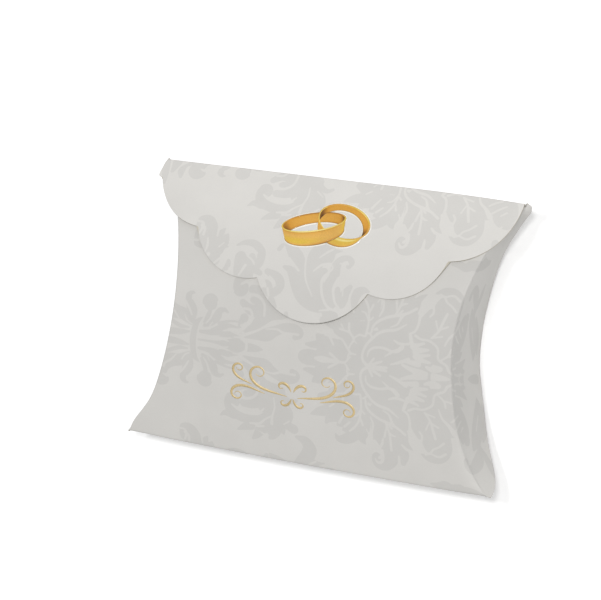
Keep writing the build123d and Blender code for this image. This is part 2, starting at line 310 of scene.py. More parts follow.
# Light veins through the damask, in the same form
VEINS = (
    (-36.3, -16.8, .28, -37.4, -18.7, .32, -38.9, -20.6, .35),
    (-36.1, -14.3, .22, -37.5, -15, .25, -38.5, -16.6, .2), (-36.5, -21.6, .55, -36.2, -22.2, .35),
    (-40.2, -15.2, .2, -42, -17.3, .3, -43.6, -18.4, .2),
    (-31.6, -15, .2, -30.3, -16.8, .3, -29.8, -19, .25), (-30.4, -14.4, .2, -29.6, -15.6, .2),
    (-33.4, -11.3, .25, -29, -10.9, .3, -26.5, -11.4, .4, -24, -10.8, .2),
    (-29.8, -11.5, .2, -27, -12, .18), (-26, -13.6, .2, -24, -14.1, .35, -21.5, -14, .3, -19.6, -14.1, .25),
    (-22.6, -12.3, .18, -20.3, -12.4, .3, -18.7, -11.5, .38, -18.3, -10, .42),
    (-19.6, -13, .28, -16, -14.9, .3, -13.4, -16.6, .32, -11, -18.4, .32, -7.4, -19.2, .3, -4.8, -20.3, .2),
    (-13, -16, .18, -9.5, -16.4, .3, -7.6, -15.7, .35, -5.4, -15.8, .28, -2.9, -15.8, .38),
    (-17.4, -12.1, .25, -13.4, -12, .4),
    (-20.6, -15.9, .4, -18.6, -16.5, .45, -17.5, -18.4, .45, -18.3, -20.6, .4, -20.4, -20.9, .35),
    (-22.4, -27.6, .3, -20.4, -28.8, .5, -17, -29.6, .45, -14, -29.1, .4, -12.3, -27.3, .25),
    (-19.8, -25.1, .45, -16.6, -24.9, .45, -14.4, -23, .4, -13.9, -19.6, .35),
    (-9.2, -23.6, .22, -8.9, -26.4, .28, -9.7, -29.4, .35, -9.9, -31.6, .5),
    (-9.6, -29, .2, -12, -30.6, .3, -13.8, -32.2, .4, -16.8, -32.6, .3),
    (-12.5, -32.8, .35, -14.6, -33.2, .3), (-4.4, -29.9, .25, -6.2, -31.2, .2),
    (-6.6, -24.4, .25, -4.4, -26, .2), (-14, -34.6, .15, -12, -35.6, .35),
    (3.3, -41.2, .3, 1.6, -42.4, .35, -.3, -44.2, .2), (3.2, -45.4, .3, .8, -46.2, .35, -1.2, -48.2, .25),
    (-4.3, -43, .3, -4, -47, .28, -3, -51, .28, -.2, -55.4, .2),
    (-9.2, -45.4, .25, -7.6, -47, .3, -5.7, -48.7, .35),
    (3.2, -45.4, .25, 4.3, -46.8, .3, 2, -49.8, .4, 2.2, -53.2, .4, 3.6, -56.2, .38, 5.6, -58, .35,
     9, -58.6, .3), (6.6, -49, .3, 5.7, -52, .35, 6.7, -55.8, .35, 8.5, -57.6, .3),
    (11.6, -51.4, .3, 11, -54.4, .35, 12, -57.5, .3), (8.5, -52, .25, 8.8, -54.1, .2),
    (6.2, -45, .25, 8.6, -44.9, .35), (2.8, -59, .25, 5.6, -58.4, .3),
    (-14, -51.5, .3, -12.4, -52.8, .3, -11.8, -54, .25), (-14, -55, .35, -13.3, -57, .35),
    (-27.2, -44.4, .3, -23.2, -44.9, .35, -21, -44.5, .3, -19.2, -45.4, .25),
    (-22.9, -45.3, .25, -22, -46.6, .3, -20.2, -47.7, .3, -19.4, -48.7, .25),
    (-22.1, -49.4, .45, -23.5, -52.4, .3), (-27.2, -48, .2, -25.9, -49.8, .3, -26.9, -51, .3),
    (-40, -38.4, .3, -38.2, -38.5, .35, -37.7, -39.8, .4, -38.4, -42, .3),
    (-32.8, -39.8, .3, -32.7, -42, .3), (-35.4, -43, .25, -35, -45.3, .38, -35.4, -47.2, .2),
    (-34.1, -47.7, .6), (-30.1, -43.7, .2, -31.4, -45.2, .25),
    (-32, -50.2, .3, -29, -47, .4, -28.2, -45.6, .3), (-38.2, -39.5, .4, -37, -40.2, .35, -37, -42.2, .4),
    (2.9, -10, .4, 5, -10.2, .75, 8, -10, .6, 12, -10, .3), (9.8, -10.4, .3, 7.2, -12, .4),
    (.2, -12.6, .2, 2.9, -12.5, .3), (12, -10.2, .25, 13.3, -11.8, .3),
    (12.6, -10.6, .2, 13, -12.8, .3, 15, -12.8, .25), (8, -14.6, .3, 6.6, -16.7, .4),
    (5.4, -17.2, .5, 8, -16.8, .4, 10.4, -16.4, .32, 12.3, -14.2, .35, 13.6, -12.8, .3), (7.2, -17.6, .7),
    (12.6, -14, .28, 13.2, -15.6, .28, 13.9, -17, .35, 12.3, -19, .35, 11.9, -21.2, .35),
    (13.9, -16.7, .25, 14.9, -15.9, .2),
    (14, -17.4, .25, 15.4, -18.5, .3, 17.1, -18.3, .3, 17.4, -19.4, .3), (9.3, -19.3, .3, 12, -18.8, .25),
    (10.4, -19.6, .2, 9.6, -20.6, .3),
    (17.4, -19.4, .35, 17.6, -22, .32, 17.2, -25.5, .32, 15.9, -28, .35, 14.2, -29.7, .3),
    (17.5, -22.5, .2, 16.4, -24.6, .28, 15, -25.1, .2), (17.7, -22.6, .2, 18.7, -23.8, .3),
    (17.5, -25.2, .25, 18.2, -27.3, .35), (12.9, -24.4, .25, 12, -25.8, .35, 11, -27.6, .4),
    (14.2, -27, .3, 12.6, -28.6, .4), (9.4, -22.3, .25, 8, -23.3, .25),
    (19, -10, .45, 17.3, -11.4, .4, 16.9, -13.3, .38, 17.8, -16, .38, 19.5, -18.3, .4),
    (19.5, -18, .3, 18.4, -19.2, .3, 17.2, -19.2, .25),
    (18.4, -12.8, .22, 18.8, -14.5, .3, 20.4, -15.6, .38, 23, -15.8, .38, 25.4, -15.2, .4),
    (19, -10, .5, 22, -10.2, .5, 24.5, -10.5, .35), (19.4, -10.2, .35, 21, -11.2, .4, 22.8, -12, .35),
    (19, -10.3, .35, 20.4, -12.5, .35),
    (19.4, -18, .35, 20.8, -19.6, .42, 23, -20.7, .42, 26, -21.4, .4, 28.8, -23.3, .2),
    (18.8, -19.6, .3, 19.2, -21.6, .35, 20.8, -23.3, .4, 23.5, -24.7, .4, 26, -25.4, .42, 28.6, -26.4, .4,
     31, -28, .4), (24.2, -21.9, .2, 26, -22.9, .3, 27, -25, .4, 28, -26.1, .3),
    (20.5, -24.4, .25, 21.3, -26.6, .35, 20.9, -29, .35, 20.6, -31, .5), (19.3, -28.2, .2, 20.4, -30.2, .3),
    (25, -25.2, .3, 26, -27.6, .32, 26.5, -30, .35, 26.8, -33.4, .4),
    (26.2, -28, .2, 27.2, -28.8, .3, 28.1, -29, .2), (25.3, -26.4, .2, 24.8, -29.6, .4),
    (25.6, -25.4, .2, 27, -26.9, .3), (24.3, -30.4, .3, 24, -32, .4, 23, -33.6, .35),
    (23.9, -34, .5, 24.2, -36, .5, 23.7, -37.6, .45, 22.6, -37.9, .4, 21.8, -36.8, .25),
    (29, -34.8, .25, 29, -37.8, .4), (30, -31.2, .3, 31.3, -32.3, .45, 33, -32.8, .4),
    (30, -20.8, .3, 31.6, -21.9, .35, 32.3, -24.2, .38, 32.4, -26.6, .5, 33.6, -29, 1),
    (37, -32.9, .3, 38.5, -32.2, .35, 39.3, -31, .3, 41, -30, .32, 42.5, -28.6, .35),
    (38.6, -32.4, .25, 41, -33, .35, 43, -31.8, .4), (35.2, -26.4, .3, 36, -27.6, .35, 35.7, -29.6, .3),
    (36.6, -20.6, .3, 38.4, -22.9, .35, 39.2, -25.4, .42, 40, -27.7, .4), (38, -23, .2, 37.1, -25.4, .3),
    (38.6, -23.2, .25, 40.8, -24.3, .3), (36.4, -20.6, .25, 39.6, -21.4, .25),
    (40.6, -19, .25, 41.8, -21.5, .35, 43.8, -23.2, .5, 45.6, -25.4, .8),
    (25.6, -11.6, .25, 28, -12.5, .45, 30.6, -13.8, .5), (25, -15.1, .3, 27, -15.6, .6, 28.4, -16.8, .6),
    (23.6, -13.6, .2, 25.4, -14.9, .35), (25.7, -18.4, .25, 27.6, -17.7, .4, 30.2, -18, .35),
    (29, -12, .4, 31.6, -11.1, .65, 34, -10.6, .95, 36.2, -10.5, .6), (29.6, -13.2, .5, 33.6, -12.8, .85),
    (36.9, -13.7, .35, 33.8, -14.2, .7, 32.3, -14.8, .6),
    (36.6, -15.8, .35, 33.6, -15.2, .6, 32.2, -16, .7), (36, -17.2, .4, 33, -16.7, .8, 31.2, -17.4, .6),
    (34.6, -18.8, .35, 31.5, -17.9, .6, 30.4, -20.2, .5), (38.2, -10.4, .7, 41.6, -10.1, .6, 43.2, -10, .2),
    (36, -12.4, .4, 38, -11.9, .75, 40.2, -12.4, .7, 38, -12.9, .5),
    (44, -11.4, .3, 42.6, -12.2, .4, 41.9, -13.6, .38, 40, -14.5, .36, 39.1, -15.4, .36, 38.8, -17.8, .36,
     37.4, -19.1, .34, 35.6, -19.8, .34, 33.6, -19.8, .34, 31.8, -20.6, .4),
    (40, -14.8, .25, 42, -16.4, .32, 42.6, -18.2, .3), (42, -16.2, .22, 44.2, -16.6, .28),
    (44.4, -12.8, .3, 47, -13.2, .3), (46, -11.4, .3, 48.6, -11.1, .35, 51, -11.6, .3),
    (46.4, -14.4, .25, 49, -14.8, .3, 50.6, -15.2, .2), (49.4, -10, .25, 50.6, -11.2, .3, 52.8, -11.3, .2),
    (46, -24.2, .3, 47.8, -22.6, .35, 49.5, -21.5, .25), (44.5, -22, .3, 46.2, -20.8, .35, 48, -20, .25),
    (48.6, -24.6, .25, 50, -23.4, .3), (60.6, -20, .2, 57.4, -24.4, .25),
)

# Rings, in mm on the flat flap: the near and the far rim of each, as (centre x, centre y, half length, half
# width, tilt in degrees); the width of a rim's bright line, and of the front ring's upper one; and how far
# such a line reaches out of its rim
FRONT_RING = ((-4.8, 28.4, 9.5, 2.9, 15), (-3.7, 25.0, 8.8, 3.4, 16))
BACK_RING = ((4.1, 29.8, 8.18, 5.08, -12.8), (3.6, 27.7, 7.0, 5.4, -12))
RIM_WIDTH = 0.42
FAR_RIM_WIDTH = 0.36
RIM_GROWTH = 0.05
# Their outlines: a colour, how far it goes outside and inside of a rim in mm, and its layer
RING_OUTLINES = (((0.96, 0.93, 0.85, 1.0), 0.5, -0.5, 0), ((0.40, 0.28, 0.10, 1.0), 0.11, -0.1, 0.5))
# Cells along a whole rim, a wall and a short wall, and rows across a wall, a rim's line and a plain strip
RING_CELLS = 240
WALL_CELLS = 200
SHORT_WALL_CELLS = 60
WALL_ROWS = 13
RIM_ROWS = 5
PLAIN_ROWS = 3
# Ink films, in mm: their thickness, how high the lowest one lies above the card, and the pitch of the
# layers
INK = 0.008
INK_LEVEL = 0.012
INK_PITCH = 0.01

# Gold by tone, from the dark inside of a ring to its bright rim, in display values of 255
GOLD_TONES = (0, 0.2, 0.4, 0.6, 0.8, 1.0)
GOLD_COLOURS = ((70, 42, 8), (150, 98, 28), (218, 154, 50), (230, 180, 90), (228, 190, 66), (248, 228, 142))

# Flourish, in mm: its middle on the flat front, its stretch in x, its finest width, the cells along a
# scroll, the powers that shape a scroll's swell, and the layer of its film
FLOURISH_MIDDLE = (-3.5, -21.6)
FLOURISH_STRETCH = 1.17
FINEST_WIDTH = 0.16
SCROLL_CELLS = 160
SWELL_POWERS = (0.8, 1.3)
FLOURISH_LAYER = 0.3
# Its scrolls: start (x, y), heading in degrees, turn of the heading (linear, square, cube), length, widest
SCROLLS = (
    ((1.3, -.9), 12, (-50, 130, 330), 21.0, .85), ((7.2, -1.1), 14, (60, -190, -330), 17.5, .8),
    ((10.6, 1.0), 24, (-70, 250, 250), 13.5, .75), ((.3, .6), 70, (-30, -130, -150), 6.6, .85),
    ((.2, -1.3), -75, (20, 110, 160), 5.6, .75),
)

# Finishes: how soft the damask's edges are in mm, the share of its colour that the printed card keeps in
# the grain's dark spots, and the shares of fibres and clouds in the grain
DAMASK_SOFTNESS = 0.14
DARK_SHARE = 0.97
FIBRE_SHARE = 0.45
CLOUD_SHARE = 0.55

# Lamps: name, which setting holds its power, its share of that, its size and its place in metres
LAMPS = (
    ("key", "key_power", 0.58, 0.15, (0.25, 0.16, 0.93)),
    ("second", "key_power", 0.42, 0.13, (-0.07, 0.15, 0.93)),
    ("reflector", "reflector_power", 1.0, 0.4, (0.85, -0.1, 0.3)),
)
# Floor: its size in metres, its grey and its glow; and the camera's sensor in mm and nearest view in metres
FLOOR_SIZE = 6.0
FLOOR_GREY = 0.9
FLOOR_GLOW = 0.31
SENSOR = 36.0
NEAREST_VIEW = 0.01


# Settings

def length_setting(name, description, default):
    """Setting for a length in metres."""
    return bpy.props.FloatProperty(name=name, description=description, default=default, unit="LENGTH",
                                   precision=5)


def angle_setting(name, description, degrees):
    """Setting for an angle, from its default in degrees."""
    return bpy.props.FloatProperty(name=name, description=description, default=math.radians(degrees),
                                   subtype="ANGLE")


def colour_setting(name, description, default):
    """Setting for a linear colour."""
    return bpy.props.FloatVectorProperty(name=name, description=description, default=default,
                                         subtype="COLOR")


class SheetSettings(bpy.types.PropertyGroup):
    """Sizes of the folded card, in metres."""

    half_width: length_setting("Half width", "From the middle to a fold's end", float(cad_high[0]))
    half_height: length_setting("Half height", "From the middle to a straight fold", float(cad_high[1]))
    fold_level: length_setting(
        "Fold level", "Height of both straight folds above the table", float(cad_high[2]) / 2)
    card: length_setting("Card", "Thickness of the card", 0.0004)
    layer_pitch: length_setting("Layer pitch", "From one layer's face to the next one's", 0.00065)
    fold_radius: length_setting("Fold radius", "Outside radius of a straight fold", 0.0006)
    crease_radius: length_setting("Crease radius", "Outside radius of a curved crease", 0.00045)
    soft_crease_radius: length_setting(
        "Soft crease radius", "Width where the crease fades out at the lower right corner", 0.0045)
    cell: length_setting("Cell", "Size of a mesh cell on the printed faces", 0.0003)


class FlapSettings(bpy.types.PropertyGroup):
    """Sizes of the closure flap, in metres."""

    length: length_setting("Length", "From the top fold to the tip", 0.041)
    shift: length_setting("Shift", "How far the flap lies to the left", 0.0009)
    lift: length_setting("Lift", "How far the middle scallop stands off the front", 0.0008)
    side_sagitta: length_setting(
        "Side sagitta", "Rise of the second and fourth scallop over its chord", 0.0052)


class FinishSettings(bpy.types.PropertyGroup):
    """Colours of the card and of the print."""

    card_colour: colour_setting("Card", "Ivory face of the card", (0.731, 0.715, 0.683))
    damask_colour: colour_setting("Damask", "Tone-on-tone print", (0.670, 0.656, 0.628))
    inside_colour: colour_setting("Inside", "Unprinted inside", (0.66, 0.64, 0.595))
    edge_colour: colour_setting("Cut edge", "Core of the card at a cut", (0.62, 0.58, 0.49))
    foil_colour: colour_setting("Foil", "Pale gold of the flourish", (0.80, 0.62, 0.32))


class StageSettings(bpy.types.PropertyGroup):
    """Camera and light."""

    lens: bpy.props.FloatProperty(
        name="Lens", description="Focal length in mm for a 36 mm sensor", default=144.08)
    distance: length_setting("Distance", "Camera to the fold plane", 0.688)
    aside: length_setting("Aside", "Camera's shift to its left", 0.007165)
    above: length_setting("Above", "Camera's shift upwards", 0.006234)
    lean: angle_setting("Lean", "Turn of the camera about Y", 21.96)
    pitch: angle_setting("Pitch", "Turn of the camera about X", -2.21)
    roll: angle_setting("Roll", "Turn of the camera about its axis", 7.70)
    key_power: bpy.props.FloatProperty(
        name="Key power", description="Power of the two upper lamps together, in watts", default=4.95)
    reflector_power: bpy.props.FloatProperty(
        name="Reflector power", description="Power of the soft lamp on the right, in watts", default=0.7)
    fill: bpy.props.FloatProperty(
        name="Fill", description="Strength of the white surroundings", default=0.40)


# Shapes

def smooth(t):
    """Smooth step: 0 below 0, 1 above 1, t*t*(3 - 2t) between."""
    t = np.clip(t, 0.0, 1.0)
    return t * t * (3 - 2 * t)


def ease(place, start, run):
    """Smooth step over a place in metres: 0 up to start, 1 from start + run on, both in mm."""
    return smooth((place - start * MM) / (run * MM))


def bow_radius(half, rise):
    """Radius of the arc over a chord of twice half: (half^2 + rise^2) / (2 rise)."""
    return (half ** 2 + rise ** 2) / (2 * rise)


def bow(y, half, rise):
    """Height of a circular arc over the chord from -half to half: sqrt(R^2 - y^2) - (R - rise)."""
    radius = bow_radius(half, rise)
    return np.sqrt(np.maximum(radius ** 2 - y ** 2, 0.0)) - (radius - rise)


def bow_length(y):
    """Arc length from the middle to y, along a bow as high as the fold level: R asin(y / R)."""
    sizes = bpy.context.scene.pillow_sheet
    radius = bow_radius(sizes.half_height, sizes.fold_level)
    return radius * np.arcsin(y / radius)


def fold_angle():
    """Angle between the fold plane and a bow where it meets its fold: 2 atan(rise / half chord)."""
    sizes = bpy.context.scene.pillow_sheet
    return 2 * math.atan(sizes.fold_level / sizes.half_height)


def bow_half():
    """Half the chord of a bow that a rounded fold ends: the half height and how far the round falls short
    of the bows' sharp corner, which is its radius times (1 / sin(fold angle) - 1)."""
    sizes = bpy.context.scene.pillow_sheet
    return sizes.half_height + sizes.fold_radius * (1 / math.sin(fold_angle()) - 1)


def fold_start(radius):
    """Angle from the middle of a bow of this radius to where its fold's round begins."""
    sizes = bpy.context.scene.pillow_sheet
    return math.asin((sizes.half_height - FOLD_START_SHARE * sizes.fold_radius) / radius)


def fold_roll(radius, rise):
    """Section of a fold's round, from inside the box to the start of a bow of this radius and rise: an
    arc of the fold's radius, tangent to the bow. It gives the distance from the middle, the height over
    the fold plane and the angle of each place."""
    sizes = bpy.context.scene.pillow_sheet
    start = fold_start(radius)
    angle = np.linspace(fold_angle() - math.pi / 2, math.pi / 2 - start, ROLL_CELLS + 1)[:-1]
    centre = radius - sizes.fold_radius
    out = centre * math.sin(start) + sizes.fold_radius * np.cos(angle)
    up = centre * math.cos(start) - (radius - rise) + sizes.fold_radius * np.sin(angle)
    return out, up, angle


def averaged(table, place, reach):
    """Length in metres from a table in mm: straight between its rows, averaged over places within reach."""
    places, values = np.transpose(table)
    spread = np.linspace(-1, 1, AVERAGE_PLACES)[:, None] * reach
    return np.interp(place.ravel() + spread, places, values).mean(0).reshape(place.shape) * MM


def along(table, y):
    """A table over y in metres, averaged over less and less towards the table's ends."""
    y = y / MM
    reach = np.clip(table[-1][0] - np.abs(y.ravel()), 0, AVERAGE_REACH)
    return averaged(table, y, reach)


def crease_x(side, y, inset=0.0):
    """Half width of the sleeve at y: each crease is cut back by the height of the bow, as a 45 degree fold
    gives, and stands out from there by its table."""
    sizes = bpy.context.scene.pillow_sheet
    cut_back = bow(y, sizes.half_height, sizes.fold_level)
    return sizes.half_width - inset - cut_back + along(CREASE_STAND[side], y)


def hand_bend(points):
    """Points with their y moved outward: the folds' bow over x, times the fourth power of y over half the
    height."""
    sizes = bpy.context.scene.pillow_sheet
    share = np.clip((points[..., 0] + sizes.half_width) / (2 * sizes.half_width), 0, 1)
    near_fold = np.clip(np.abs(points[..., 1]) / sizes.half_height, 0, 1) ** 4
    top = averaged(TOP_BOW, share, AVERAGE_REACH_SHARE)
    bottom = averaged(BOTTOM_BOW, share, AVERAGE_REACH_SHARE)
    push = np.where(points[..., 1] > 0, top, -bottom) * near_fold
    return points + push[..., None] * np.array([0.0, 1.0, 0.0])


def front_tone(y):
    """Tone of the front's print, a painted shade: deepest just below the flap, less so towards the bottom
    fold.
    """
    return FRONT_TONE + FRONT_GAIN * ease(-y, *FRONT_TONE_RUN)


def crease_round(side, y):
    """Width and drop of the front crease's round, a quarter of an ellipse: small along the end, wide
    where the crease fades out at the lower right corner, and with a drop that keeps within the end's
    height there."""
    sizes = bpy.context.scene.pillow_sheet
    soft = ease(-y, *SOFT_CREASE_RUN) * (side > 0)
    end_height = bow(np.abs(y), sizes.half_height, sizes.half_height * END_HEIGHT_SHARE)
    end_height = np.maximum(end_height, LEAST_END_HEIGHT * MM)
    width = sizes.crease_radius + (sizes.soft_crease_radius - sizes.crease_radius) * soft
    return width, np.minimum(np.minimum(width, DROP_SHARE * end_height), GREATEST_DROP * MM)


def front_height(y, height):
    """Height of the front's outer face: its bow's height, less the tuck towards the top fold, where the
    front turns down to the glue tab inside the flap; never less than a tenth of the bow's."""
    most = np.maximum((1 - LEAST_HEIGHT_SHARE) * height, 0)
    return height - np.minimum(TUCK * MM * ease(y, *TUCK_RUN), most)


def round_tone(y, turn):
    """Tone over the crease's round, from the front's painted shade to the end's over the last half of its
    turn, with a faint dip of painted shade along the crease, which ends before the lower corners."""
    mixed = front_tone(y) + smooth(turn * 4 / math.pi - 1) * (END_SHADE - front_tone(y))
    return mixed - CREASE_SHADE * np.sin(2 * turn) * (1 - ease(-y, *CREASE_SHADE_RUN))


def grid_normals(points):
    """Unit normals of a grid of points, from the cross product of its two central differences."""
    normal = np.cross(np.gradient(points, axis=1), np.gradient(points, axis=0))
    return normal / np.maximum(np.linalg.norm(normal, axis=2, keepdims=True), 1e-12)


def quads(grid):
    """Corners of the cells of a grid of point numbers."""
    corners = [grid[:-1, :-1], grid[:-1, 1:], grid[1:, 1:], grid[1:, :-1]]
    return np.stack(corners, -1).reshape(-1, 4)


def sheet_part(outer, thickness, step, attributes, flip=False):
    """Closed sheet as arrays: its points, its faces, what kind each set of faces is, and its attributes.
    The outer face is the given grid; the inner face lies the thickness below it, with every step-th
    column; four rims join them. Attributes are values on the outer grid."""
    outer = hand_bend(outer)
    rows, columns = outer.shape[:2]
    normal = grid_normals(outer) * (-1 if flip else 1)
    inner = (outer - thickness * normal)[:, ::step]
    inner_columns = inner.shape[1]
    points = np.concatenate([outer.reshape(-1, 3), inner.reshape(-1, 3)])
    top = np.arange(rows * columns).reshape(rows, columns)
    low = rows * columns + np.arange(rows * inner_columns).reshape(rows, inner_columns)
    faces, kinds = [quads(top), quads(low)[:, ::-1]], [PRINTED_FACE, INSIDE, *4 * [CUT_EDGE]]
    for column, is_first in ((0, True), (-1, False)):
        upper, lower = top[:, column], low[:, column]
        rim = np.stack([upper[:-1], upper[1:], lower[1:], lower[:-1]], -1)
        faces.append(rim if is_first else rim[:, ::-1])
    for row, is_first in ((0, True), (-1, False)):
        spans = np.arange(inner_columns - 1)
        upper = top[row][spans[:, None] * step + np.arange(step + 1)]
        lower = np.stack([low[row][spans + 1], low[row][spans]], -1)
        rim = np.concatenate([upper, lower], 1)
        faces.append(rim[:, ::-1] if is_first else rim)
    if flip:
        faces = [corners[:, ::-1] for corners in faces]
    values = {}
    for key, grid in attributes.items():
        below = grid[:, ::step].reshape(rows * inner_columns, -1)
        values[key] = np.concatenate([grid.reshape(rows * columns, -1), below])
    return points, faces, kinds, values


def make_piece(name, parts, materials):
    """One object from sheet parts; a face's material follows its kind, as far as there are materials."""
    point_sets, face_sets, kind_sets, value_sets = zip(*parts)
    first = np.cumsum([0] + [len(points) for points in point_sets])
    points = np.concatenate(point_sets)
    faces = [corners + start for start, face_set in zip(first, face_sets) for corners in face_set]
    kinds = np.concatenate(kind_sets)
    kinds = np.concatenate([np.full(len(face), kind) for face, kind in zip(faces, kinds)])
    corners = np.concatenate([face.ravel() for face in faces]).astype(np.int32)
    corner_counts = np.concatenate([np.full(len(face), face.shape[1]) for face in faces])
    mesh = bpy.data.meshes.new(name)
    mesh.vertices.add(len(points))
    mesh.vertices.foreach_set("co", points.astype(np.float32).ravel())
    mesh.loops.add(len(corners))
    mesh.loops.foreach_set("vertex_index", corners)
    mesh.polygons.add(len(corner_counts))
    starts = np.concatenate([[0], np.cumsum(corner_counts)[:-1]])
    mesh.polygons.foreach_set("loop_start", starts.astype(np.int32))
    mesh.update(calc_edges=True)
    slots = np.minimum(kinds, len(materials) - 1)
    mesh.polygons.foreach_set("material_index", slots.astype(np.int32))
    mesh.polygons.foreach_set("use_smooth", kinds != CUT_EDGE)
    for key in value_sets[0]:
        values = np.concatenate([value_set[key] for value_set in value_sets]).astype(np.float32)
        is_colour = values.shape[1] == 4
        layer = mesh.attributes.new(key, "FLOAT_COLOR" if is_colour else "FLOAT", "POINT")
        layer.data.foreach_set("color" if is_colour else "value", values.ravel())
    mesh.validate()
    piece = bpy.data.objects.new(name, mesh)
    bpy.context.scene.collection.objects.link(piece)
    for material in materials:
        mesh.materials.append(MATERIALS[material])
    return piece


def spine(stroke, cells=4):
    """Discs along a stroke: a Catmull-Rom curve through its (x, y, radius) points."""
    points = np.array(stroke, float).reshape(-1, 3)
    if len(points) == 1:
        return np.vstack([points, points])
    points = np.vstack([2 * points[0] - points[1], points, 2 * points[-1] - points[-2]])
    t = np.linspace(0, 1, cells, endpoint=False)[:, None, None]
    a, b, c, d = points[:-3], points[1:-2], points[2:-1], points[3:]
    square, cube = 2 * a - 5 * b + 4 * c - d, 3 * b - a - 3 * c + d
    curve = 0.5 * (2 * b + (c - a) * t + square * t ** 2 + cube * t ** 3)
    return np.vstack([curve.transpose(1, 0, 2).reshape(-1, 3), points[-2:-1]])


def strokes_distance(x, y, strokes, far=1.2):
    """Signed distance to the union of strokes, each a chain of tapering capsules: the distance to the
    nearest point of the chain less the radius there. The result is cut off at far."""
    nearest = np.full(x.shape, far)
    for stroke in strokes:
        discs = spine(stroke)
        reach = discs[:, 2].max() + far
        low, high = discs.min(0) - reach, discs.max(0) + reach
        near = np.flatnonzero((x > low[0]) & (x < high[0]) & (y > low[1]) & (y < high[1]))
        if len(near) == 0:
            continue
        start, way = discs[:-1], np.diff(discs, axis=0)
        from_x, from_y = x[near, None] - start[:, 0], y[near, None] - start[:, 1]
        span = np.maximum(way[:, 0] ** 2 + way[:, 1] ** 2, 1e-9)
        t = np.clip((from_x * way[:, 0] + from_y * way[:, 1]) / span, 0, 1)
        distance = np.hypot(from_x - t * way[:, 0], from_y - t * way[:, 1])
        distance = distance - (start[:, 2] + t * way[:, 2])
        nearest[near] = np.minimum(nearest[near], distance.min(1))
    return nearest


def printed(x, length, tone=1.0):
    """Attributes of the print on a face, from its place on the flat card, in metres: signed distances in
    mm to the leaves and to the veins, and the face's tone, where light and shade are painted. The design
    mirrors across a line and repeats up the sheet."""
    x, y = np.broadcast_arrays(x, length)
    fold = np.mod(y / MM - MIRROR, 2 * HALF_REPEAT)
    y = MIRROR - np.minimum(fold, 2 * HALF_REPEAT - fold)
    flat_x, flat_y = (x / MM).ravel(), y.ravel()
    return {"leaf": strokes_distance(flat_x, flat_y, LEAVES).reshape(x.shape),
            "vein": strokes_distance(flat_x, flat_y, VEINS).reshape(x.shape),
            "tone": np.array(np.broadcast_to(tone, x.shape))}


class PILLOW_OT_front(bpy.types.Operator):
    """Front panel: a bowed sheet between the two front creases, rolled round the bottom fold"""

    bl_idname = "pillow.front"
    bl_label = "Front panel"

    def execute(self, context):
        sizes = context.scene.pillow_sheet
        y, z = self.section(sizes)
        quarter = np.linspace(0, math.pi / 2, ROUND_CELLS + 1)[1:]
        turn = np.concatenate([-quarter[::-1], np.zeros(FRONT_CELLS + 1), quarter])
        u = np.clip(np.arange(-ROUND_CELLS, FRONT_CELLS + ROUND_CELLS + 1) / FRONT_CELLS, 0, 1)
        left_width, left_drop = crease_round(-1, y)
        right_width, right_drop = crease_round(1, y)
        left = (crease_x(-1, y) - left_width)[:, None]
        right = (crease_x(1, y) - right_width)[:, None]
        width = np.where(turn < 0, left_width[:, None], right_width[:, None])
        drop = np.where(turn < 0, left_drop[:, None], right_drop[:, None]) * (1 - np.cos(turn))
        x = -left + u * (left + right) + width * np.sin(turn)
        y_grid = np.broadcast_to(y[:, None], x.shape)
        outer = np.stack([x, y_grid, sizes.fold_level + z[:, None] - drop], -1)

        cell = np.hypot(np.diff(x, axis=1, prepend=x[:, :1]), np.diff(drop, axis=1, prepend=drop[:, :1]))
        flat_x = np.cumsum(cell, 1)
        face_start = slice(ROUND_CELLS, ROUND_CELLS + 1)
        flat_x += x[:, face_start] - flat_x[:, face_start]
        # Painted shade over the creases' rounds and the front, darker over the rows that roll into the
        # bottom fold, and painted light towards the left end
        rolled = smooth((np.arange(len(y)) - ROLL_TONE_ROWS) / ROLL_TONE_ROWS)
        tone = round_tone(y[:, None], np.abs(turn)) * (ROLL_TONE + (1 - ROLL_TONE) * rolled)[:, None]
        tone = tone + LEFT_LIGHT * ease(-x, *LEFT_LIGHT_RUN)
        part = sheet_part(outer, sizes.card, INSIDE_STEP, printed(flat_x, bow_length(y_grid), tone))
        piece = make_piece("front_sheet", [part], CARD_MATERIALS)
        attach(piece, "sleeve")
        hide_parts("front_panel")
        return {"FINISHED"}

    def section(self, sizes):
        """Section of the front, from the roll inside the bottom fold up its bow to the top fold's inside:
        y, and the height over the fold plane."""
        rise = sizes.fold_level - sizes.layer_pitch
        radius = bow_radius(bow_half(), rise)
        out, up, _ = fold_roll(radius, rise)
        last = math.asin((sizes.half_height - FRONT_END_GAP * MM) / radius)
        angle = np.linspace(-fold_start(radius), last, int(2 * sizes.half_height / sizes.cell))
        y = np.concatenate([-out, radius * np.sin(angle)])
        z = np.concatenate([up, radius * np.cos(angle) - (radius - rise)])
        return y, front_height(y, z)


def inner_part(side, low_y, high_y):
    """Part of an upright inner end sheet between two y: from the back crease up to its free edge."""
    sizes = bpy.context.scene.pillow_sheet
    rows, columns = INNER_GRID
    y = np.linspace(low_y, high_y, columns)
    back = -bow(y, bow_half(), sizes.fold_level)
    under_front = bow(y, sizes.half_height, sizes.fold_level) - INNER_TOP_GAP * MM
    edge = np.minimum(under_front, (2 * INNER_REACH_SHARE - 1) * sizes.fold_level)
    edge = np.maximum(edge, back + LEAST_INNER_HEIGHT * MM)
    z = sizes.fold_level + back + np.linspace(0, 1, rows)[:, None] * (edge - back)
    x = np.broadcast_to(side * crease_x(side, y, sizes.layer_pitch), z.shape)
    outer = np.stack([x, np.broadcast_to(y, z.shape), z], -1)
    print_free = printed(np.full(z.shape, BLANK_PLACE), z)
    return sheet_part(outer, sizes.card, INSIDE_STEP, print_free, side < 0)


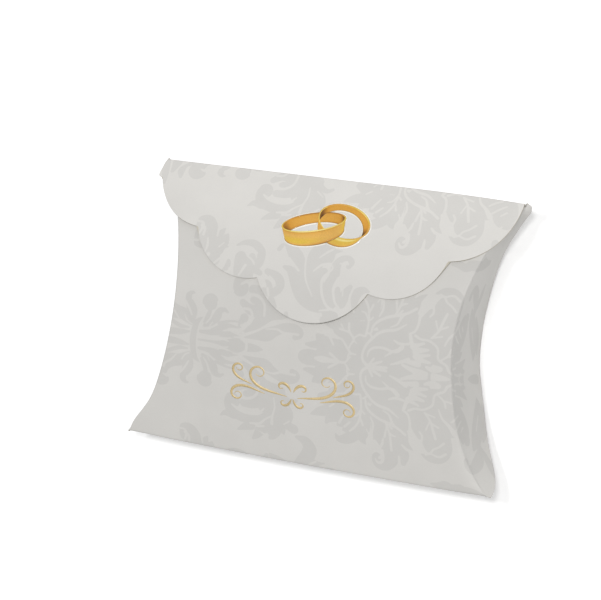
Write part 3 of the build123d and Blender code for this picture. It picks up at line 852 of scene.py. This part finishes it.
class PILLOW_OT_back(bpy.types.Operator):
    """Back panel: a bowed sheet the other way up, with the corners of the inner end flaps"""

    bl_idname = "pillow.back"
    bl_label = "Back panel"

    def execute(self, context):
        sizes = context.scene.pillow_sheet
        radius = bow_radius(bow_half(), sizes.fold_level)
        start = fold_start(radius)
        rows = int(2 * sizes.half_height / (BACK_CELL_SHARE * sizes.cell))
        angle = np.linspace(start, -start, rows)[:, None]
        y = radius * np.sin(angle)
        z = sizes.fold_level - (radius * np.cos(angle) - (radius - sizes.fold_level))
        left = crease_x(-1, y, sizes.layer_pitch)
        right = crease_x(1, y, sizes.layer_pitch)
        x = -left + np.linspace(0, 1, BACK_COLUMNS) * (left + right)
        outer = np.stack(np.broadcast_arrays(x, y, z), -1)
        print_on = printed(x, BACK_PLACE * MM - radius * angle)
        parts = [sheet_part(outer, sizes.card, INSIDE_STEP, print_on)]
        near, far = INNER_CORNER
        for side in (1, -1):
            for low, high in ((-far, -near), (near, far)):
                parts.append(inner_part(side, low * MM, high * MM))
        piece = make_piece("back_sheet", parts, CARD_MATERIALS)
        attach(piece, "sleeve")
        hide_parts("back_panel")
        return {"FINISHED"}


def scallop_edge(x):
    """Lower edge of the flap over x: an arc at each end that leaves the fold square, two leaning arcs,
    and one arc about the middle. Each is a circle's lower half."""
    sizes, flap = bpy.context.scene.pillow_sheet, bpy.context.scene.pillow_flap
    half, top = sizes.half_width, sizes.half_height
    outer = np.array([OUTER_CUSP[0] * half, top - OUTER_CUSP[1] * flap.length])
    inner = np.array([INNER_CUSP[0] * half, top - INNER_CUSP[1] * flap.length])
    out = np.abs(x)
    end_radius = bow_radius(top - outer[1], half - outer[0])
    end = top - np.sqrt(np.maximum(end_radius ** 2 - (out - half + end_radius) ** 2, 0.0))
    chord = outer - inner
    reach = np.linalg.norm(chord)
    radius = bow_radius(reach / 2, flap.side_sagitta)
    normal = np.array([-chord[1], chord[0]]) / reach
    centre = (outer + inner) / 2 + (radius - flap.side_sagitta) * normal
    side = centre[1] - np.sqrt(np.maximum(radius ** 2 - (out - centre[0]) ** 2, 0.0))
    tip = top - flap.length
    tip_radius = bow_radius(inner[0], inner[1] - tip)
    middle = tip + tip_radius - np.sqrt(np.maximum(tip_radius ** 2 - out ** 2, 0.0))
    return np.where(out > outer[0], end, np.where(out > inner[0], side, middle))


def flap_surface(x, length, above=0.0):
    """Points of the flap's outer face over x at an arc length from the middle, raised by above along the
    bow's normal. The flap sinks a little below its bow towards the scallops. Its middle scallop stands
    off, by one less the square of x over a half width, and two places beside it by bells."""
    sizes, flap = bpy.context.scene.pillow_sheet, bpy.context.scene.pillow_flap
    radius = bow_radius(bow_half(), sizes.fold_level)
    angle = length / radius
    y, z = radius * np.sin(angle), radius * np.cos(angle) - (radius - sizes.fold_level)
    settle = SETTLE * MM * ease(sizes.half_height - y, *SETTLE_RUN)
    wide = np.clip(1 - ((x + flap.shift) / (LIFT_HALF_WIDTH * MM)) ** 2, 0, 1)
    z = z - settle + flap.lift * ease(-y, *LIFT_RUN) * wide
    for place_x, place_y, share in SIDE_LIFTS:
        square = (x - place_x * MM) ** 2 + (y - place_y * MM) ** 2
        z = z + flap.lift * share * np.exp(-square / (SIDE_LIFT_SPREAD * MM) ** 2)
    points = (x, y + above * np.sin(angle), sizes.fold_level + z + above * np.cos(angle))
    return np.stack(np.broadcast_arrays(*points), -1)


class PILLOW_OT_flap(bpy.types.Operator):
    """Closure flap: a bowed sheet with five scallops, rolled round the top fold"""

    bl_idname = "pillow.flap"
    bl_label = "Closure flap"

    def execute(self, context):
        sizes, flap = context.scene.pillow_sheet, context.scene.pillow_flap
        radius = bow_radius(bow_half(), sizes.fold_level)
        start = fold_start(radius)
        rows, columns = FLAP_GRID
        x = sizes.half_width * np.sin(np.linspace(-1, 1, columns) * math.pi / 2)
        edge = scallop_edge(x)
        nick = NICK_Y * MM + NICK_SLOPE * (np.abs(x) - NICK_X * MM)
        edge = np.where((x < -NICK_X * MM) & (edge > nick), nick, edge)
        low = np.arcsin(np.minimum(edge, radius * math.sin(start) - LEAST_FACE * MM) / radius)
        length = radius * (start + np.linspace(0, 1, rows)[:, None] * (low - start))
        side = np.interp(radius * np.sin(length / radius) / MM, *np.transpose(FLAP_SIDE)) * MM
        face = flap_surface(x - flap.shift - side * ease(-x, *FLAP_SIDE_RUN), length)
        out, up, roll = (row[:, None] for row in fold_roll(radius, sizes.fold_level))
        rolled = np.stack(np.broadcast_arrays(face[0, :, 0], out, sizes.fold_level + up), -1)
        outer = np.concatenate([rolled, face])
        roll_length = radius * start + sizes.fold_radius * (math.pi / 2 - start - roll) + 0 * x
        length = np.concatenate([roll_length, length])
        # Painted light on the flap: its tone grows towards the top fold
        tone = FLAP_TONE + FLAP_GAIN * ease(length, *FLAP_TONE_RUN)
        print_on = printed(outer[..., 0], length + FLAP_PLACE * MM, tone)
        part = sheet_part(outer, sizes.card, FLAP_INSIDE_STEP, print_on, flip=True)
        piece = make_piece("closure_flap_sheet", [part], CARD_MATERIALS)
        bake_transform(piece)
        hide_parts("closure_flap")
        return {"FINISHED"}


class PILLOW_OT_ends(bpy.types.Operator):
    """End flaps: at each end an outer and an inner sheet, bent along their curved creases"""

    bl_idname = "pillow.ends"
    bl_label = "End flaps"

    def execute(self, context):
        sizes = context.scene.pillow_sheet
        for name, side in (("right", 1), ("left", -1)):
            self.outer(sizes, name, side)
            self.inner(sizes, name, side)
        return {"FINISHED"}

    def outer(self, sizes, name, side):
        """Outer sheet of one end: rows that lap in under the crease's round, then an upright wall down to
        the back, whose free edge flares out."""
        rows, columns = OUTER_GRID
        u = np.linspace(-1, 1, columns)
        even, crowded = COLUMN_SHARES
        y = (even * u + crowded * np.sin(u * math.pi / 2)) * (sizes.half_height - END_GAP * MM)
        front = front_height(y, bow(y, bow_half(), sizes.fold_level - sizes.layer_pitch))
        edge_x, (width, drop) = crease_x(side, y), crease_round(side, y)
        turn, inset = np.transpose(LAP_ROWS)[:, :, None]
        turn, inset = np.radians(turn), inset * MM
        lap_x = edge_x - width * (1 - np.sin(turn)) - inset
        lap_z = front - drop * (1 - np.cos(turn)) - inset

        v = np.linspace(0, 1, rows)[:, None]
        top = front - drop
        back = np.minimum(LAYER_GAP * MM - bow(y, bow_half(), sizes.fold_level), top - LEAST_FACE * MM)
        wall_z = top + v * (back - top)
        stand = along(FREE_STAND[side], y) - along(CREASE_STAND[side], y)
        wall_x = edge_x + stand * v ** FLARE_POWER
        x = side * np.concatenate([lap_x, wall_x])
        z = sizes.fold_level + np.concatenate([lap_z, wall_z])
        y_grid = np.broadcast_to(y, x.shape)
        outer = np.stack([x, y_grid, z], -1)

        row = np.hypot(np.diff(x, axis=0), np.diff(z, axis=0))
        down = np.concatenate([[np.zeros(len(y))], np.cumsum(row, 0)])
        around = width + (math.pi / 2 - 1) * drop
        flat_x = side * (edge_x - width + around + down - down[len(LAP_ROWS)])
        # Painted shade on the end flaps, with a painted highlight at the top of the right ear
        tone = np.full(x.shape, END_SHADE)
        if side > 0:
            tone += EAR_HIGHLIGHT * ease(y, *EAR_HIGHLIGHT_RUN)
        print_on = printed(flat_x, bow_length(y_grid), tone)
        part = sheet_part(outer, sizes.card, INSIDE_STEP, print_on, flip=side > 0)
        piece = make_piece(f"{name}_outer_end_sheet", [part], CARD_MATERIALS)
        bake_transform(piece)
        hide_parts(f"{name}_outer_end_flap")

    def inner(self, sizes, name, side):
        """Inner sheet of one end: only its middle, which turns between the back's fixed corners."""
        part = inner_part(side, -INNER_MIDDLE * MM, INNER_MIDDLE * MM)
        piece = make_piece(f"{name}_inner_end_sheet", [part], CARD_MATERIALS)
        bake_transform(piece)
        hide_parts(f"{name}_inner_end_flap")


# Gold print

def gold(tone):
    """Linear colour of gold by tone: its display colour straight between the table's, and the display curve
    undone."""
    colours = np.array(GOLD_COLOURS) / 255.0
    display = np.stack([np.interp(tone, GOLD_TONES, channel) for channel in colours.T], -1)
    linear = np.where(display <= 0.04045, display / 12.92, ((display + 0.055) / 1.055) ** 2.4)
    return np.concatenate([linear, np.ones_like(linear[..., :1])], -1)


def print_strip(near, far, colour, layer, surface):
    """Strip of ink between two curves given in flat mm, as a closed film on its layer above the card. The
    colour is a grid of linear colours from the near to the far curve."""
    v = np.linspace(0, 1, colour.shape[0])[:, None, None]
    flat = near[None] + v * (far - near)[None]
    above = (INK_LEVEL + INK_PITCH * layer) * MM
    outer = surface(flat[..., 0] * MM, flat[..., 1] * MM, above)
    flip = grid_normals(outer)[..., 2].mean() < 0
    return sheet_part(outer, INK * MM, 1, {"ink": colour}, flip)


def ellipse(ring, angle, growth=0.0):
    """Point of an ellipse (centre x, centre y, half length, half width, tilt in degrees), in mm."""
    centre_x, centre_y, half_length, half_width, tilt = ring
    cosine, sine = math.cos(math.radians(tilt)), math.sin(math.radians(tilt))
    x, y = (half_length + growth) * np.cos(angle), (half_width + growth) * np.sin(angle)
    return np.stack([centre_x + x * cosine - y * sine, centre_y + x * sine + y * cosine], -1)


def toned(angle, tone, rows):
    """Gold over a strip, from a tone's formula in the angle in degrees and in v, 0 at its near edge and 1
    at its far one."""
    v = np.linspace(0, 1, rows)[:, None]
    return gold(np.broadcast_to(tone(np.degrees(angle)[None, :], v), (rows, len(angle))))


def ring_wall(ring, start, end, tone, layer, cells=WALL_CELLS):
    """Band of a ring between its two rims, from one angle to another."""
    angle = np.radians(np.linspace(start, end, cells))
    near, far = ellipse(ring[0], angle), ellipse(ring[1], angle)
    return print_strip(near, far, toned(angle, tone, WALL_ROWS), layer, flap_surface)


def ring_rim(ring, start, end, tone, layer, width=RIM_WIDTH):
    """Bright line along a ring's near rim, from one angle to another."""
    angle = np.radians(np.linspace(start, end, RING_CELLS))
    near, far = ellipse(ring[0], angle, RIM_GROWTH), ellipse(ring[0], angle, RIM_GROWTH - width)
    return print_strip(near, far, toned(angle, tone, RIM_ROWS), layer, flap_surface)


def bell(value, middle, width):
    """Bell of height 1: exp(-((value - middle) / width)^2)."""
    return np.exp(-((value - middle) / width) ** 2)


def back_inside(angle, v):
    """Tone inside the back ring, dark towards both ends and along its far rim."""
    ends = 0.42 * bell(angle, 168, 16) * (0.5 + 0.5 * v) + 0.6 * bell(angle, -8, 22) * v
    return 0.43 + 0.06 * v - ends - 0.12 * bell(v, 1, 0.12) - 0.05 * bell(v, 0, 0.2)


def back_outside(angle, v):
    """Tone outside the back ring, with a gleam at its bottom and a dark far rim."""
    gleam = 0.12 * bell(angle, 285, 50) + 0.35 * bell(angle, 290, 40) * bell(v, 0.1, 0.2)
    return 0.62 + gleam - 0.42 * bell(v, 1, 0.13)


def back_rim(angle, v):
    """Tone of the back ring's rim, bright at the top and at the bottom."""
    return 0.5 + 0.45 * bell(angle, 55, 42) + 0.42 * bell(angle, 275, 45) - 0.1 * bell(v, 0, 0.3)


def back_left(angle, v):
    """Tone outside the back ring, where it passes over the front one's upper side."""
    return 0.5 - 0.12 * bell(v, 1, 0.2)


def back_left_rim(angle, v):
    """Tone of the back ring's rim there, with a dark outer edge."""
    return 0.9 - 0.5 * bell(v, 0, 0.3)


def front_inside(angle, v):
    """Tone inside the front ring, dark towards both ends and along both rims."""
    ends = 0.45 * bell(angle, 160, 16) * (0.2 + 0.8 * v) + 0.38 * bell(angle, 14, 14) * (1 - 0.5 * v)
    return 0.46 + 0.04 * bell(angle, 90, 40) - ends - 0.15 * bell(v, 1, 0.12) - 0.1 * bell(v, 0, 0.15)


def front_outside(angle, v):
    """Tone outside the front ring, with gleams at the lower left and at the right, and dark ends and
    rims."""
    left_gleam = 0.24 * bell(angle, 232, 46) * smooth((v - 0.2) / 0.5)
    right_gleam = 0.26 * bell(angle, 345, 17) * (1 - 0.5 * v)
    ends = 0.3 * bell(angle, 182, 5) + 0.25 * bell(angle, 362, 6)
    return 0.575 + left_gleam + right_gleam - ends - 0.4 * bell(v, 1, 0.1) - 0.1 * bell(v, 0.02, 0.1)


def front_far_rim(angle, v):
    """Tone of the front ring's upper rim, bright at both ends."""
    return 0.3 + 0.6 * bell(angle, 176, 30) + 0.5 * bell(angle, 4, 16)


def front_near_rim(angle, v):
    """Tone of the front ring's lower rim, brightest at the bottom."""
    return 0.8 + 0.2 * bell(angle, 270, 70)


class PILLOW_OT_rings(bpy.types.Operator):
    """Ring print: two linked bands, each the side of a short cylinder between its near and its far rim"""

    bl_idname = "pillow.rings"
    bl_label = "Ring print"

    def execute(self, context):
        parts = []
        angle = np.linspace(0, 2 * math.pi, RING_CELLS)
        for colour, outside, inside, layer in RING_OUTLINES:
            plain = np.broadcast_to(colour, (PLAIN_ROWS, RING_CELLS, 4))
            for rim in (*FRONT_RING, *BACK_RING):
                near, far = ellipse(rim, angle, outside), ellipse(rim, angle, inside)
                parts.append(print_strip(near, far, plain, layer, flap_surface))
        parts += [
            ring_wall(BACK_RING, -25, 195, back_inside, 1),
            ring_wall(BACK_RING, 195, 335, back_outside, 2),
            ring_rim(BACK_RING, 0, 360, back_rim, 3),
            ring_wall(FRONT_RING, 0, 185, front_inside, 4),
            ring_rim(FRONT_RING, 0, 185, front_far_rim, 5, FAR_RIM_WIDTH),
            ring_wall(BACK_RING, 150, 195, back_inside, 6, SHORT_WALL_CELLS),
            ring_wall(BACK_RING, 195, 236, back_left, 7, SHORT_WALL_CELLS),
            ring_rim(BACK_RING, 150, 236, back_left_rim, 8),
            ring_wall(FRONT_RING, 180, 364, front_outside, 9),
            ring_rim(FRONT_RING, 178, 364, front_near_rim, 10),
        ]
        piece = make_piece("ring_print", parts, ("gold ink",))
        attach(piece, "closure_flap")
        return {"FINISHED"}


def front_surface(x, length, above=0.0):
    """Points of the front panel's outer face over x at an arc length, raised by above along the bow's
    normal."""
    sizes = bpy.context.scene.pillow_sheet
    rise = sizes.fold_level - sizes.layer_pitch
    radius = bow_radius(bow_half(), rise)
    angle = length / radius
    z = sizes.fold_level + (radius + above) * np.cos(angle) - (radius - rise)
    return np.stack(np.broadcast_arrays(x, (radius + above) * np.sin(angle), z), -1)


class PILLOW_OT_flourish(bpy.types.Operator):
    """Gold flourish: mirrored scrolls of foil whose heading turns faster and faster towards their ends"""

    bl_idname = "pillow.flourish"
    bl_label = "Gold flourish"

    def execute(self, context):
        parts = []
        middle = np.array(FLOURISH_MIDDLE)
        plain = gold(np.zeros((PLAIN_ROWS, SCROLL_CELLS)))
        for side in (-1, 1):
            for scroll in SCROLLS:
                line, across = self.scroll(*scroll)
                mirror = np.array([side, 1.0])
                near, far = middle + mirror * (line - across), middle + mirror * (line + across)
                parts.append(print_strip(near, far, plain, FLOURISH_LAYER, front_surface))
        piece = make_piece("gold_flourish", parts, ("gold foil",))
        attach(piece, "sleeve")
        return {"FINISHED"}

    def scroll(self, start, heading, turns, size, width):
        """Middle line of a scroll, and half its width to the left of each place. The heading is a cubic
        in the share of the length, the line its sum, and the width a sine that leans towards the
        start."""
        t = np.linspace(0, 1, SCROLL_CELLS)
        turned = turns[0] * t + turns[1] * t ** 2 + turns[2] * t ** 3
        angle = math.radians(heading) + np.radians(turned)
        step = size / SCROLL_CELLS
        x = FLOURISH_STRETCH * (start[0] + np.cumsum(np.cos(angle)) * step)
        y = start[1] + np.cumsum(np.sin(angle)) * step
        lean, swell = SWELL_POWERS
        half = 0.5 * (FINEST_WIDTH + (width - FINEST_WIDTH) * np.sin(math.pi * t ** lean) ** swell)
        across = np.stack([-np.sin(angle), np.cos(angle)], -1) * half[:, None]
        return np.stack([x, y], -1), across


# Finishes

def group_node(tree, name):
    """Node in a tree that uses a shader group."""
    node = tree.nodes.new("ShaderNodeGroup")
    node.node_tree = bpy.data.node_groups[name]
    return node


def new_group(name, inputs, outputs):
    """Empty shader group with named sockets: (name, default) in, name out, all of them single values."""
    group = bpy.data.node_groups.new(name, "ShaderNodeTree")
    for label, default in inputs:
        socket = group.interface.new_socket(label, in_out="INPUT", socket_type="NodeSocketFloat")
        socket.default_value = default
    for label in outputs:
        group.interface.new_socket(label, in_out="OUTPUT", socket_type="NodeSocketFloat")
    return group, group.nodes.new("NodeGroupInput"), group.nodes.new("NodeGroupOutput")


def math_node(tree, operation, *values, clamp=False):
    """Math node whose inputs are linked or set."""
    node = tree.nodes.new("ShaderNodeMath")
    node.operation = operation
    node.use_clamp = clamp
    for socket, value in zip(node.inputs, values):
        if isinstance(value, (int, float)):
            socket.default_value = value
        else:
            tree.links.new(value, socket)
    return node.outputs[0]


def ramp(tree, value, low, high, start=0.0, end=1.0):
    """Smooth step of a value between low and high, from start to end."""
    node = tree.nodes.new("ShaderNodeMapRange")
    node.interpolation_type = "SMOOTHSTEP"
    tree.links.new(value, node.inputs["Value"])
    for label, number in (("From Min", low), ("From Max", high), ("To Min", start), ("To Max", end)):
        if isinstance(number, (int, float)):
            node.inputs[label].default_value = number
        else:
            tree.links.new(number, node.inputs[label])
    return node.outputs["Result"]


def noise(tree, vector, scale, detail):
    """Noise value over a vector."""
    node = tree.nodes.new("ShaderNodeTexNoise")
    node.inputs["Scale"].default_value = scale
    node.inputs["Detail"].default_value = detail
    tree.links.new(vector, node.inputs["Vector"])
    return node.outputs["Fac"]


def mix_colour(tree, factor, first, second):
    """Mix of two colours by a factor; each is a socket or a value. A mix node keeps its colours on
    sockets 6 and 7, and its mixed colour on output 2."""
    node = tree.nodes.new("ShaderNodeMix")
    node.data_type = "RGBA"
    for index, value in ((0, factor), (6, first), (7, second)):
        if hasattr(value, "is_linked"):
            tree.links.new(value, node.inputs[index])
        else:
            node.inputs[index].default_value = value
    return node.outputs[2]


def times(tree, colour, factor):
    """A colour or a vector times a value."""
    node = tree.nodes.new("ShaderNodeVectorMath")
    node.operation = "SCALE"
    tree.links.new(colour, node.inputs[0])
    tree.links.new(factor, node.inputs["Scale"])
    return node.outputs[0]


def attribute(tree, name):
    """Attribute node of a mesh attribute."""
    node = tree.nodes.new("ShaderNodeAttribute")
    node.attribute_name = name
    return node


def build_damask_group():
    """Damask: ink mask from the signed distances to the leaves and to the veins, which cut through them,
    with an edge that is soft either way."""
    inputs = (("Leaf", 1.0), ("Vein", 1.0), ("Softness", 0.1))
    group, into, out = new_group("Damask", inputs, ("Mask",))
    soft = into.outputs["Softness"]
    low = math_node(group, "MULTIPLY", soft, -1.0)
    leaf = ramp(group, into.outputs["Leaf"], low, soft, 1.0, 0.0)
    vein = ramp(group, into.outputs["Vein"], low, soft, 0.0, 1.0)
    group.links.new(math_node(group, "MULTIPLY", leaf, vein), out.inputs["Mask"])


def build_grain_group():
    """Card grain: fine fibres and slow clouds over the object's own coordinates, as a shade and a
    height."""
    group, into, out = new_group("Card Grain", (("Fineness", 1.0),), ("Shade", "Height"))
    place = group.nodes.new("ShaderNodeTexCoord").outputs["Object"]
    place = times(group, place, into.outputs["Fineness"])
    fibre = noise(group, place, scale=2600.0, detail=4.0)
    cloud = noise(group, place, scale=120.0, detail=3.0)
    fibre_part = math_node(group, "MULTIPLY", fibre, FIBRE_SHARE)
    cloud_part = math_node(group, "MULTIPLY", cloud, CLOUD_SHARE)
    group.links.new(math_node(group, "ADD", fibre_part, cloud_part), out.inputs["Shade"])
    group.links.new(fibre, out.inputs["Height"])


def new_material(name, roughness):
    """Node material of this roughness, with its tree and its Principled shader."""
    material = bpy.data.materials.new(name)
    material.use_nodes = True
    MATERIALS[name] = material
    shader = material.node_tree.nodes["Principled BSDF"]
    shader.inputs["Roughness"].default_value = roughness
    return material.node_tree, shader


def bumpy(tree, shader, height, distance, strength=0.5):
    """Bump on a shader from a height, over a distance in mm."""
    node = tree.nodes.new("ShaderNodeBump")
    node.inputs["Distance"].default_value = distance * MM
    node.inputs["Strength"].default_value = strength
    tree.links.new(height, node.inputs["Height"])
    tree.links.new(node.outputs["Normal"], shader.inputs["Normal"])


def grainy(tree, shader, colour, dark, low, high, distance):
    """Feeds a shader with card: from dark to its colour as the grain's shade goes from low to high, and a
    bump of its fibres."""
    grain = group_node(tree, "Card Grain")
    factor = ramp(tree, grain.outputs["Shade"], low, high)
    tree.links.new(mix_colour(tree, factor, dark, colour), shader.inputs["Base Color"])
    bumpy(tree, shader, grain.outputs["Height"], distance)


def shade(colour, factor=1.0):
    """A colour times a factor, with alpha 1."""
    return (*(channel * factor for channel in colour), 1.0)


class PILLOW_OT_finishes(bpy.types.Operator):
    """Finishes: printed card, plain inside, cut edge, gold ink and gold foil"""

    bl_idname = "pillow.finishes"
    bl_label = "Finishes"

    def execute(self, context):
        colours = context.scene.pillow_finish
        build_damask_group()
        build_grain_group()
        self.printed_card(colours)
        self.plain_card("plain inside", colours.inside_colour, dark=0.93, low=0.35, high=0.65,
                        distance=0.04, roughness=0.78)
        self.plain_card("cut edge", colours.edge_colour, dark=0.85, low=0.3, high=0.7,
                        distance=0.04, roughness=0.9)
        self.gold_ink()
        foil = self.plain_card("gold foil", colours.foil_colour, dark=0.8, low=0.4, high=0.6,
                               distance=0.01, roughness=0.4)
        foil.inputs["Metallic"].default_value = 0.2
        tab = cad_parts["glue_tab"]
        tab.data.materials.clear()
        tab.data.materials.append(MATERIALS["plain inside"])
        return {"FINISHED"}

    def plain_card(self, name, colour, dark, low, high, distance, roughness):
        """One colour with the card's grain: its dark share, its range of shades and its bump in mm."""
        tree, shader = new_material(name, roughness)
        grainy(tree, shader, shade(colour), shade(colour, dark), low, high, distance)
        return shader

    def printed_card(self, colours):
        """Damask in its own colour on ivory card, by the print's attributes, both times the tone with its
        painted light and shade, a little duller where it is inked."""
        tree, shader = new_material("printed card", 0.5)
        pattern = group_node(tree, "Damask")
        tree.links.new(attribute(tree, "leaf").outputs["Fac"], pattern.inputs["Leaf"])
        tree.links.new(attribute(tree, "vein").outputs["Fac"], pattern.inputs["Vein"])
        pattern.inputs["Softness"].default_value = DAMASK_SOFTNESS
        mask, tone = pattern.outputs["Mask"], attribute(tree, "tone").outputs["Fac"]
        shades = []
        # Card and damask colours times the tone attribute, which holds painted light and shade
        for factor in (1.0, DARK_SHARE):
            card, damask = shade(colours.card_colour, factor), shade(colours.damask_colour, factor)
            shades.append(times(tree, mix_colour(tree, mask, card, damask), tone))
        grainy(tree, shader, *shades, low=0.35, high=0.65, distance=0.02)
        roughness = ramp(tree, mask, low=0.0, high=1.0, start=0.56, end=0.64)
        tree.links.new(roughness, shader.inputs["Roughness"])
        shader.inputs["Specular IOR Level"].default_value = 0.4

    def gold_ink(self):
        """Gold in the colours of the ink attribute, with a speckle and a bump of the card's grain."""
        tree, shader = new_material("gold ink", 0.42)
        shader.inputs["Coat Weight"].default_value = 0.15
        grain = group_node(tree, "Card Grain")
        speckle = ramp(tree, grain.outputs["Shade"], low=0.38, high=0.62, start=0.9, end=1.05)
        colour = times(tree, attribute(tree, "ink").outputs["Color"], speckle)
        tree.links.new(colour, shader.inputs["Base Color"])
        bumpy(tree, shader, grain.outputs["Height"], distance=0.01, strength=1.0)


# Stage

class PILLOW_OT_stage(bpy.types.Operator):
    """Stage: white floor, two lamps above, reflector on the right, white surroundings and the camera"""

    bl_idname = "pillow.stage"
    bl_label = "Stage"

    def execute(self, context):
        scene, stage = context.scene, context.scene.pillow_stage
        scene.view_settings.view_transform = "Standard"
        bpy.ops.mesh.primitive_plane_add(size=FLOOR_SIZE, location=(0, 0, 0))
        floor = context.active_object
        floor.name = "floor"
        floor.data.materials.append(self.floor_material())
        self.lamps(scene, stage)
        self.surroundings(scene, stage)
        self.camera(scene, stage)
        return {"FINISHED"}

    def lamps(self, scene, stage):
        """Round area lamps, each turned to the middle of the floor."""
        for name, setting, share, size, place in LAMPS:
            lamp_data = bpy.data.lights.new(name, "AREA")
            lamp_data.shape = "DISK"
            lamp_data.size = size
            lamp_data.energy = getattr(stage, setting) * share
            lamp = bpy.data.objects.new(name, lamp_data)
            scene.collection.objects.link(lamp)
            lamp.location = place
            lamp.rotation_euler = (-Vector(place)).to_track_quat("-Z", "Y").to_euler()

    def surroundings(self, scene, stage):
        """White world: full white to the camera, and weaker as light."""
        world = bpy.data.worlds.new("surroundings")
        scene.world = world
        world.use_nodes = True
        tree = world.node_tree
        tree.nodes.clear()
        out = tree.nodes.new("ShaderNodeOutputWorld")
        mix, path = tree.nodes.new("ShaderNodeMixShader"), tree.nodes.new("ShaderNodeLightPath")
        for socket, strength in ((1, stage.fill), (2, 1.0)):
            white = tree.nodes.new("ShaderNodeBackground")
            white.inputs["Color"].default_value = (1, 1, 1, 1)
            white.inputs["Strength"].default_value = strength
            tree.links.new(white.outputs[0], mix.inputs[socket])
        tree.links.new(path.outputs["Is Camera Ray"], mix.inputs["Fac"])
        tree.links.new(mix.outputs[0], out.inputs["Surface"])

    def camera(self, scene, stage):
        """Camera over the box: leant, pitched and rolled about the middle of the fold plane."""
        camera_data = bpy.data.cameras.new("camera")
        camera_data.lens, camera_data.sensor_width = stage.lens, SENSOR
        camera_data.sensor_fit = "HORIZONTAL"
        camera_data.clip_start = NEAREST_VIEW
        camera = bpy.data.objects.new("camera", camera_data)
        scene.collection.objects.link(camera)
        turn = (Matrix.Rotation(stage.lean, 4, "Y") @ Matrix.Rotation(stage.pitch, 4, "X")
                @ Matrix.Rotation(stage.roll, 4, "Z"))
        eye = turn @ Vector((-stage.aside, stage.above, stage.distance))
        camera.matrix_world = Matrix.Translation(eye + Vector((0, 0, scene.pillow_sheet.fold_level))) @ turn
        scene.camera = camera

    def floor_material(self):
        """White floor: matt for the light that it returns; to the camera, in gloss and through glass it
        also glows a little, so that it reads white where no shadow falls."""
        material = bpy.data.materials.new("white floor")
        material.use_nodes = True
        tree = material.node_tree
        tree.nodes.clear()
        out = tree.nodes.new("ShaderNodeOutputMaterial")
        matt = tree.nodes.new("ShaderNodeBsdfDiffuse")
        matt.inputs["Color"].default_value = (FLOOR_GREY, FLOOR_GREY, FLOOR_GREY, 1)
        glow = tree.nodes.new("ShaderNodeEmission")
        glow.inputs["Strength"].default_value = FLOOR_GLOW
        path = tree.nodes.new("ShaderNodeLightPath").outputs
        seen = math_node(tree, "ADD", path["Is Camera Ray"], path["Is Glossy Ray"], clamp=True)
        seen = math_node(tree, "ADD", seen, path["Is Transmission Ray"], clamp=True)
        add = tree.nodes.new("ShaderNodeAddShader")
        mix = tree.nodes.new("ShaderNodeMixShader")
        tree.links.new(matt.outputs[0], add.inputs[0])
        tree.links.new(glow.outputs[0], add.inputs[1])
        tree.links.new(seen, mix.inputs["Fac"])
        tree.links.new(matt.outputs[0], mix.inputs[1])
        tree.links.new(add.outputs[0], mix.inputs[2])
        tree.links.new(mix.outputs[0], out.inputs["Surface"])
        return material


# Panel and start

class PILLOW_PT_panel(bpy.types.Panel):
    """Settings, and a button for each group of pieces"""

    bl_idname = "PILLOW_PT_panel"
    bl_label = "Pillow Box"
    bl_space_type = "VIEW_3D"
    bl_region_type = "UI"
    bl_category = "Pillow Box"

    def draw(self, context):
        for name, _ in SETTINGS:
            settings, box = getattr(context.scene, name), self.layout.box()
            for key in settings.__annotations__:
                box.prop(settings, key)
        for operator in OPERATORS:
            self.layout.operator(operator.bl_idname)


OPERATORS = (PILLOW_OT_finishes, PILLOW_OT_front, PILLOW_OT_back, PILLOW_OT_flap, PILLOW_OT_ends,
             PILLOW_OT_rings, PILLOW_OT_flourish, PILLOW_OT_stage)
SETTINGS = (("pillow_sheet", SheetSettings), ("pillow_flap", FlapSettings),
            ("pillow_finish", FinishSettings), ("pillow_stage", StageSettings))


def register():
    """Registers the settings, the operators and the panel."""
    for name, settings in SETTINGS:
        bpy.utils.register_class(settings)
        setattr(bpy.types.Scene, name, bpy.props.PointerProperty(type=settings))
    for made in (*OPERATORS, PILLOW_PT_panel):
        bpy.utils.register_class(made)


def unregister():
    """Takes the panel, the operators and the settings away again."""
    for made in reversed((*OPERATORS, PILLOW_PT_panel)):
        bpy.utils.unregister_class(made)
    for name, settings in reversed(SETTINGS):
        delattr(bpy.types.Scene, name)
        bpy.utils.unregister_class(settings)


def main():
    """Builds the whole scene."""
    register()
    bpy.ops.pillow.finishes()
    bpy.ops.pillow.front()
    bpy.ops.pillow.back()
    bpy.ops.pillow.flap()
    bpy.ops.pillow.ends()
    bpy.ops.pillow.rings()
    bpy.ops.pillow.flourish()
    bpy.ops.pillow.stage()


if __name__ == "__main__":
    main()
